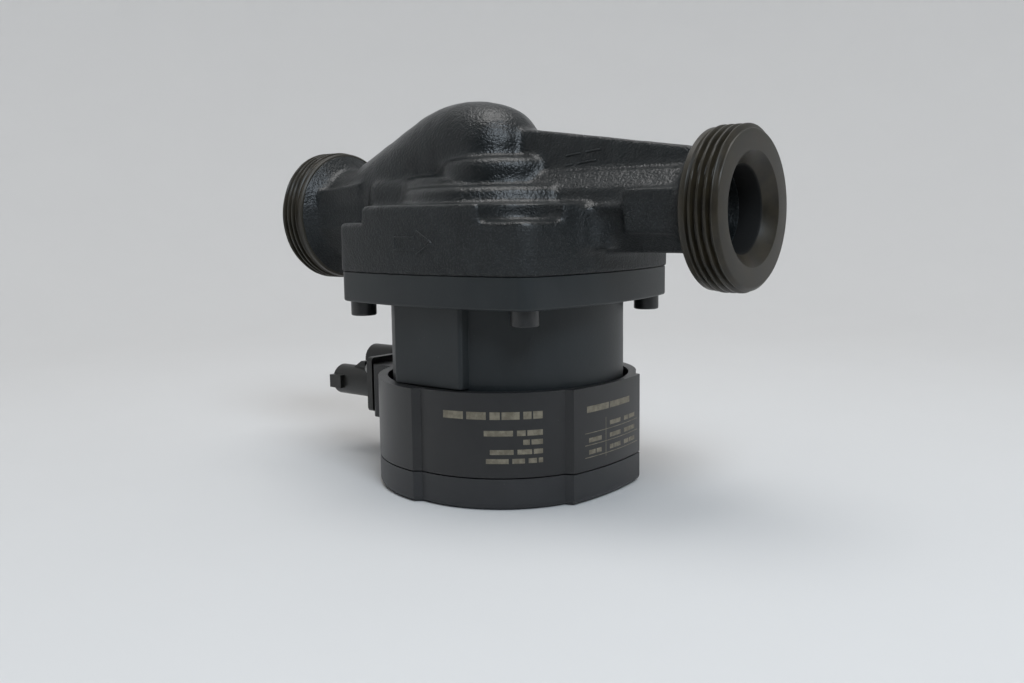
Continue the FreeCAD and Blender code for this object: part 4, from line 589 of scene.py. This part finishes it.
def box_finish(name, dark, light, roughness, grain_depth):
    skin = Finish(name, {"IOR": 1.5})
    grain = skin.grain(0.30 * MM, 2.0)
    clouds = skin.grain(10 * MM, 3.0)
    lint = skin.cells(4.2 * MM).ramp(0.055, 0.02) * skin.grain(11 * MM).ramp(0.5, 0.6)
    scuffs = skin.grain(1.1 * MM, 3.0, skin.stretched((1, 1, 9))).ramp(0.66, 0.74)
    tone = skin.mixed(clouds.ramp(0.25, 0.8) * 0.7 + grain * 0.3, dark, light)
    skin.feed("Base Color", skin.mixed(lint * 0.5 + scuffs * 0.08, tone, (0.25, 0.25, 0.25, 1)))
    skin.feed("Roughness", roughness - 0.05 + 0.08 * clouds + 0.05 * grain + 0.05 * scuffs)
    skin.feed("Normal", skin.relief(grain, grain_depth))
    return skin


box_black = box_finish("black_box_plastic", (0.0125, 0.0125, 0.0130, 1), (0.0185, 0.0185, 0.0190, 1),
                       0.36, 0.016 * MM)
softened("control_box_body", "control_box", 0.35 * MM, box_black)
dress_nodes(rubber, "motor_seal", "cover_seal")
zinc = drawn_steel("dark_zinc", (0.24, 0.24, 0.235, 1), 0.34)
dress_nodes(zinc, "control_box_screws")


# --- Panel marks ----------------------------------------------------------------------------
# Laser marking has bleached the plastic to beige.  Rows of plain bars and a small ruled table
# stand for the rating data; they are skin deep.

MARK_PROUD = 0.025 * MM
MARK_ROOT = 0.05 * MM
MARK_STEP_DEG = 0.7
ROW_END_DEG = 52.5
MARK_ROWS = [
    (11.9, 28.3, 30.6, (9, 8, 12, 8)),
    (29.1, 23.2, 24.9, (11, 10)),
    (44.5, 20.4, 22.0, (7,)),
    (31.4, 17.5, 19.0, (9, 10)),
    (29.8, 14.7, 16.2, (9, 5, 6)),
]
SERIAL_ROW = (72.3, 28.5, 30.5, 104.0)
TABLE_LINES_Z = (22.0, 18.2, 14.3)
TABLE_DEG = (71.2, 112.0)
TABLE_POST = (84.6, 13.3, 25.8)
TABLE_POST_HALF_DEG = 0.14
TABLE_ENTRY_HEIGHT = 1.4
TABLE_ENTRIES = [(87.5, 96.0, 15.2), (99.0, 109.0, 15.2), (87.5, 96.0, 19.0), (99.0, 109.0, 19.0),
                 (87.5, 96.0, 23.0), (99.0, 109.0, 23.0), (73.5, 81.5, 15.2), (73.5, 81.5, 19.0)]
LINE_WIDTH = 0.22
WORD_SPACE = 1.5
WORD_GAP_DEG = 0.7
SHORT_WORD_DEG = 4.0
WHOLE_WORDS = 0.4

box_surface = BVHTree.FromObject(bpy.data.objects["control_box"], bpy.context.evaluated_depsgraph_get())
dashes = random.Random(7)


def panel_point(turn_deg, z, out):
    """Point on the box wall at an angle from -Y towards +X and a height, moved out by out."""
    turn = math.radians(turn_deg - 90)
    outward = Vector((math.cos(turn), math.sin(turn), 0))
    hit, _, _, _ = box_surface.ray_cast(outward * OUTSIDE + Vector((0, 0, z * MM)), -outward)
    return hit + outward * out


def add_slab(form, low_deg, high_deg, low_z, high_z):
    """Thin closed slab wrapped on the panel."""
    steps = max(1, math.ceil((high_deg - low_deg) / MARK_STEP_DEG))
    columns = []
    for k in range(steps + 1):
        turn = low_deg + (high_deg - low_deg) * k / steps
        section = ((low_z, MARK_PROUD), (high_z, MARK_PROUD), (high_z, -MARK_ROOT), (low_z, -MARK_ROOT))
        columns.append([form.verts.new(panel_point(turn, z, out)) for z, out in section])
    for near, far in zip(columns, columns[1:]):
        for a in range(4):
            b = (a + 1) % 4
            form.faces.new((near[a], far[a], far[b], near[b]))
    form.faces.new(columns[0])
    form.faces.new(columns[-1][::-1])


def add_bars(form, low_deg, high_deg, low_z, high_z):
    """A word as one plain bar, now and then split in two, with no letter in it."""
    if high_deg - low_deg < SHORT_WORD_DEG or dashes.random() < WHOLE_WORDS:
        add_slab(form, low_deg, high_deg, low_z, high_z)
        return
    parting = low_deg + (high_deg - low_deg) * dashes.uniform(0.35, 0.65)
    add_slab(form, low_deg, parting - WORD_GAP_DEG / 2, low_z, high_z)
    add_slab(form, parting + WORD_GAP_DEG / 2, high_deg, low_z, high_z)


form = bmesh.new()
for start_deg, low_z, high_z, words in MARK_ROWS:
    share = (ROW_END_DEG - start_deg) / (sum(words) + WORD_SPACE * (len(words) - 1))
    left = start_deg
    for word in words:
        add_bars(form, left, left + word * share, low_z, high_z)
        left += (word + WORD_SPACE) * share
add_bars(form, SERIAL_ROW[0], SERIAL_ROW[3], SERIAL_ROW[1], SERIAL_ROW[2])
for z in TABLE_LINES_Z:
    add_slab(form, *TABLE_DEG, z - LINE_WIDTH / 2, z + LINE_WIDTH / 2)
post_deg, post_low, post_high = TABLE_POST
add_slab(form, post_deg - TABLE_POST_HALF_DEG, post_deg + TABLE_POST_HALF_DEG, post_low, post_high)
for low_deg, high_deg, low_z in TABLE_ENTRIES:
    add_bars(form, low_deg, high_deg, low_z, low_z + TABLE_ENTRY_HEIGHT)
bmesh.ops.recalc_face_normals(form, faces=form.faces)
mesh = bpy.data.meshes.new("panel_marks")
form.to_mesh(mesh)
form.free()
marks = new_piece("panel_marks", mesh)
beige = Finish("laser_bleached_plastic", {"IOR": 1.4})
faded = beige.grain(2.4 * MM, 3.0)
dots = beige.grain(0.22 * MM, 2.0)
tone = beige.mixed(faded.ramp(0.3, 0.7), (0.145, 0.128, 0.094, 1), (0.25, 0.223, 0.168, 1))
beige.feed("Base Color", beige.mixed(dots.ramp(0.55, 0.8) * 0.6, tone, (0.03, 0.028, 0.024, 1)))
beige.feed("Roughness", 0.5 + 0.15 * dots)
beige.feed("Normal", beige.relief(dots, 0.01 * MM))
beige.dress(marks)


# --- Cover --------------------------------------------------------------------------------------
# The cover closes the box below with a dark seam between them, and is the face the pump stands on.
# It is moulded with a coarser grain and held by four screws in counterbores.

cover_black = box_finish("grained_cover_plastic", (0.0215, 0.0220, 0.0235, 1), (0.0300, 0.0305, 0.0325, 1),
                         0.44, 0.035 * MM)
softened("control_box_cover", "bottom_cover", 0.3 * MM, cover_black)
softened("cover_screws", "cover_fixing_screws", 0.12 * MM, zinc, segments=2)


# --- Window, lights and button --------------------------------------------------------------------
# Behind a smoked window five small lights show the setting; the round button beside it moves
# half a millimetre against its switch.

smoked = Finish("smoked_window", {"IOR": 1.5, "Transmission Weight": 0.55,
                                  "Base Color": (0.10, 0.11, 0.12, 1)})
smoked.feed("Roughness", 0.05 + 0.05 * smoked.grain(4 * MM))
smoked.feed("Normal", smoked.relief(smoked.grain(6 * MM), 0.004 * MM))
dress_nodes(smoked, "display_window")
lens = Finish("lamp_lens", {"IOR": 1.5})
lens.feed("Base Color", lens.mixed(lens.grain(0.8 * MM), (0.62, 0.68, 0.56, 1), (0.78, 0.82, 0.72, 1)))
lens.feed("Roughness", 0.12 + 0.1 * lens.grain(1.5 * MM))
dress_nodes(lens, "status_leds")
button_grey = moulding("button_plastic", (0.060, 0.062, 0.064, 1), 0.42, 0.25 * MM, 0.015 * MM)
softened("mode_button", "push_button", 0.12 * MM, button_grey, "button", segments=2)
dress_nodes(button_grey, "switch_plunger")


# --- Electronics ------------------------------------------------------------------------------------
# Two boards: the small one carries the lights and the switch, the round one the converter, whose
# power module is pressed through a pad and an aluminium block against the motor floor.

board = Finish("board_solder_resist", {"IOR": 1.5})
tracks = board.node("ShaderNodeTexVoronoi", {"distance": "MANHATTAN", "feature": "F1"},
                    {"Vector": board.place, "Scale": 1 / (3 * MM)}, "Distance")
lines = tracks.ramp(0.55, 0.6)
board.feed("Base Color", board.mixed(lines, (0.010, 0.085, 0.030, 1), (0.022, 0.135, 0.050, 1)))
board.feed("Roughness", 0.28 + 0.1 * board.grain(2 * MM))
board.feed("Normal", board.relief(lines, 0.03 * MM))
dress_nodes(board, "main_board", "display_board")
dress_nodes(moulding("component_black", (0.018, 0.018, 0.018, 1), 0.4),
            "mode_switch", "power_module", "choke_core")
dress_nodes(moulding("film_yellow", (0.55, 0.38, 0.05, 1), 0.35), "film_capacitor")
dress_nodes(moulding("capacitor_sleeve", (0.018, 0.022, 0.050, 1), 0.25), "bulk_capacitor")
dress_nodes(moulding("heat_pad", (0.30, 0.34, 0.40, 1), 0.7), "heat_pad")
dress_nodes(drawn_steel("milled_aluminium", (0.66, 0.66, 0.67, 1), 0.3, (1, 0.05, 1)), "heat_block")


# --- Plug sockets --------------------------------------------------------------------------------------
# One glossy black moulding holds the power and the signal socket, screwed to the shelf of the box.
# Its mould leaves a latch ramp and a key on the power socket.

socket_black = box_finish("socket_plastic", (0.0120, 0.0120, 0.0105, 1), (0.0200, 0.0200, 0.0175, 1),
                          0.34, 0.012 * MM)
softened("connector_block", "plug_sockets", 0.28 * MM, socket_black)
softened("connector_screws", "socket_screws", 0.1 * MM, zinc, segments=2)


# --- Studio ------------------------------------------------------------------------------------------------
# A pale seamless sweep under a soft light and a bluish window; on the viewer's side the sweep is painted
# near black, painted shade standing in for an unlit room.
# The camera looks slightly down across the outlet.

FOCAL_MM = 34.835
SENSOR_MM = 36.0
CAMERA_AZIMUTH = math.radians(38.698)
CAMERA_ELEVATION = math.radians(7.149)
CAMERA_ROLL = math.radians(-0.715)
CAMERA_PLACE = (0.212305, -0.262670, 0.088844)
FLOOR_INNER_R = 0.02
FLOOR_MIDDLE_R = 0.2
FLOOR_R = 0.44
SWEEP_R = 0.45
SWEEP_STEPS = 16
STEPS_ROUND = 96
WALL_TOP = 1.5
ROOM_EDGE = 0.36
ROOM_EDGE_WIDTH = 0.15
ROOM_BRIGHTNESS = 0.61

rows = []
profile = [(FLOOR_INNER_R, 0.0), (FLOOR_MIDDLE_R, 0.0), (FLOOR_R, 0.0)]
for k in range(1, SWEEP_STEPS + 1):
    lean = math.pi / 2 * k / SWEEP_STEPS
    profile.append((FLOOR_R + SWEEP_R * math.sin(lean), SWEEP_R * (1 - math.cos(lean))))
profile.append((FLOOR_R + SWEEP_R, WALL_TOP))
for radius, z in profile:
    turns = [math.tau * k / STEPS_ROUND for k in range(STEPS_ROUND)]
    rows.append([Vector((radius * math.cos(turn), radius * math.sin(turn), z)) for turn in turns])
mesh = ring_mesh("studio_sweep", rows, closed=False)
form = bmesh.new()
form.from_mesh(mesh)
form.verts.ensure_lookup_table()
form.faces.new([form.verts[k] for k in range(STEPS_ROUND)])
bmesh.ops.recalc_face_normals(form, faces=form.faces)
if sum(face.normal.z for face in form.faces) < 0:
    bmesh.ops.reverse_faces(form, faces=form.faces)
form.to_mesh(mesh)
form.free()
mesh.shade_smooth()
sweep = bpy.data.objects.new("studio_sweep", mesh)
bpy.context.scene.collection.objects.link(sweep)
paper = Finish("pale_paper", {"Specular IOR Level": 0.15})
fibres = paper.grain(60 * MM, 3.0)
# The sweep's colour turns near black towards the viewer: painted shade for the unlit room on that side, so
# the pump reflects darkness from the front.
towards_viewer = paper.node("ShaderNodeVectorMath", {"operation": "DOT_PRODUCT"}, {
    0: paper.place, 1: (math.sin(CAMERA_AZIMUTH), -math.cos(CAMERA_AZIMUTH), 0)}, "Value")
painted_room_shade = towards_viewer.ramp(ROOM_EDGE, ROOM_EDGE + ROOM_EDGE_WIDTH)
white = paper.mixed(fibres, (0.655, 0.652, 0.648, 1), (0.675, 0.672, 0.668, 1))
paper.feed("Base Color", paper.mixed(painted_room_shade, white, (0.03, 0.03, 0.03, 1)))
paper.feed("Roughness", 0.75 + 0.1 * fibres)
paper.dress(sweep)


def soft_light(name, size, place, target, watts, colour):
    lamp = bpy.data.lights.new(name, "AREA")
    lamp.shape = "DISK"
    lamp.size = size
    lamp.energy = watts
    lamp.color = colour
    holder = bpy.data.objects.new(name, lamp)
    holder.location = place
    holder.rotation_euler = (Vector(target) - Vector(place)).to_track_quat("-Z", "Y").to_euler()
    bpy.context.scene.collection.objects.link(holder)


soft_light("overhead_softbox", 0.90, (-0.05, 0.05, 1.25), (0, 0, 0.05), 6.0, (1.0, 0.99, 0.98))
soft_light("window", 0.38, (0.50, -0.36, 0.66), (0, 0, 0.08), 4.2, (0.80, 0.90, 1.0))

world = bpy.data.worlds.new("room")
world.use_nodes = True
world.node_tree.nodes["Background"].inputs["Color"].default_value = (1.0, 1.0, 1.0, 1)
world.node_tree.nodes["Background"].inputs["Strength"].default_value = ROOM_BRIGHTNESS
bpy.context.scene.world = world
bpy.context.scene.view_settings.view_transform = "Standard"

lens_data = bpy.data.cameras.new("camera")
lens_data.lens = FOCAL_MM
lens_data.sensor_width = SENSOR_MM
lens_data.clip_start = 0.01
camera = bpy.data.objects.new("camera", lens_data)
back = Vector((math.sin(CAMERA_AZIMUTH) * math.cos(CAMERA_ELEVATION),
               -math.cos(CAMERA_AZIMUTH) * math.cos(CAMERA_ELEVATION), math.sin(CAMERA_ELEVATION)))
level = Vector((math.cos(CAMERA_AZIMUTH), math.sin(CAMERA_AZIMUTH), 0))
upright = back.cross(level)
right = level * math.cos(CAMERA_ROLL) + upright * math.sin(CAMERA_ROLL)
top = upright * math.cos(CAMERA_ROLL) - level * math.sin(CAMERA_ROLL)
turned = Matrix((right, top, back)).transposed().to_4x4()
camera.matrix_world = Matrix.Translation(CAMERA_PLACE) @ turned
bpy.context.scene.collection.objects.link(camera)
bpy.context.scene.camera = camera
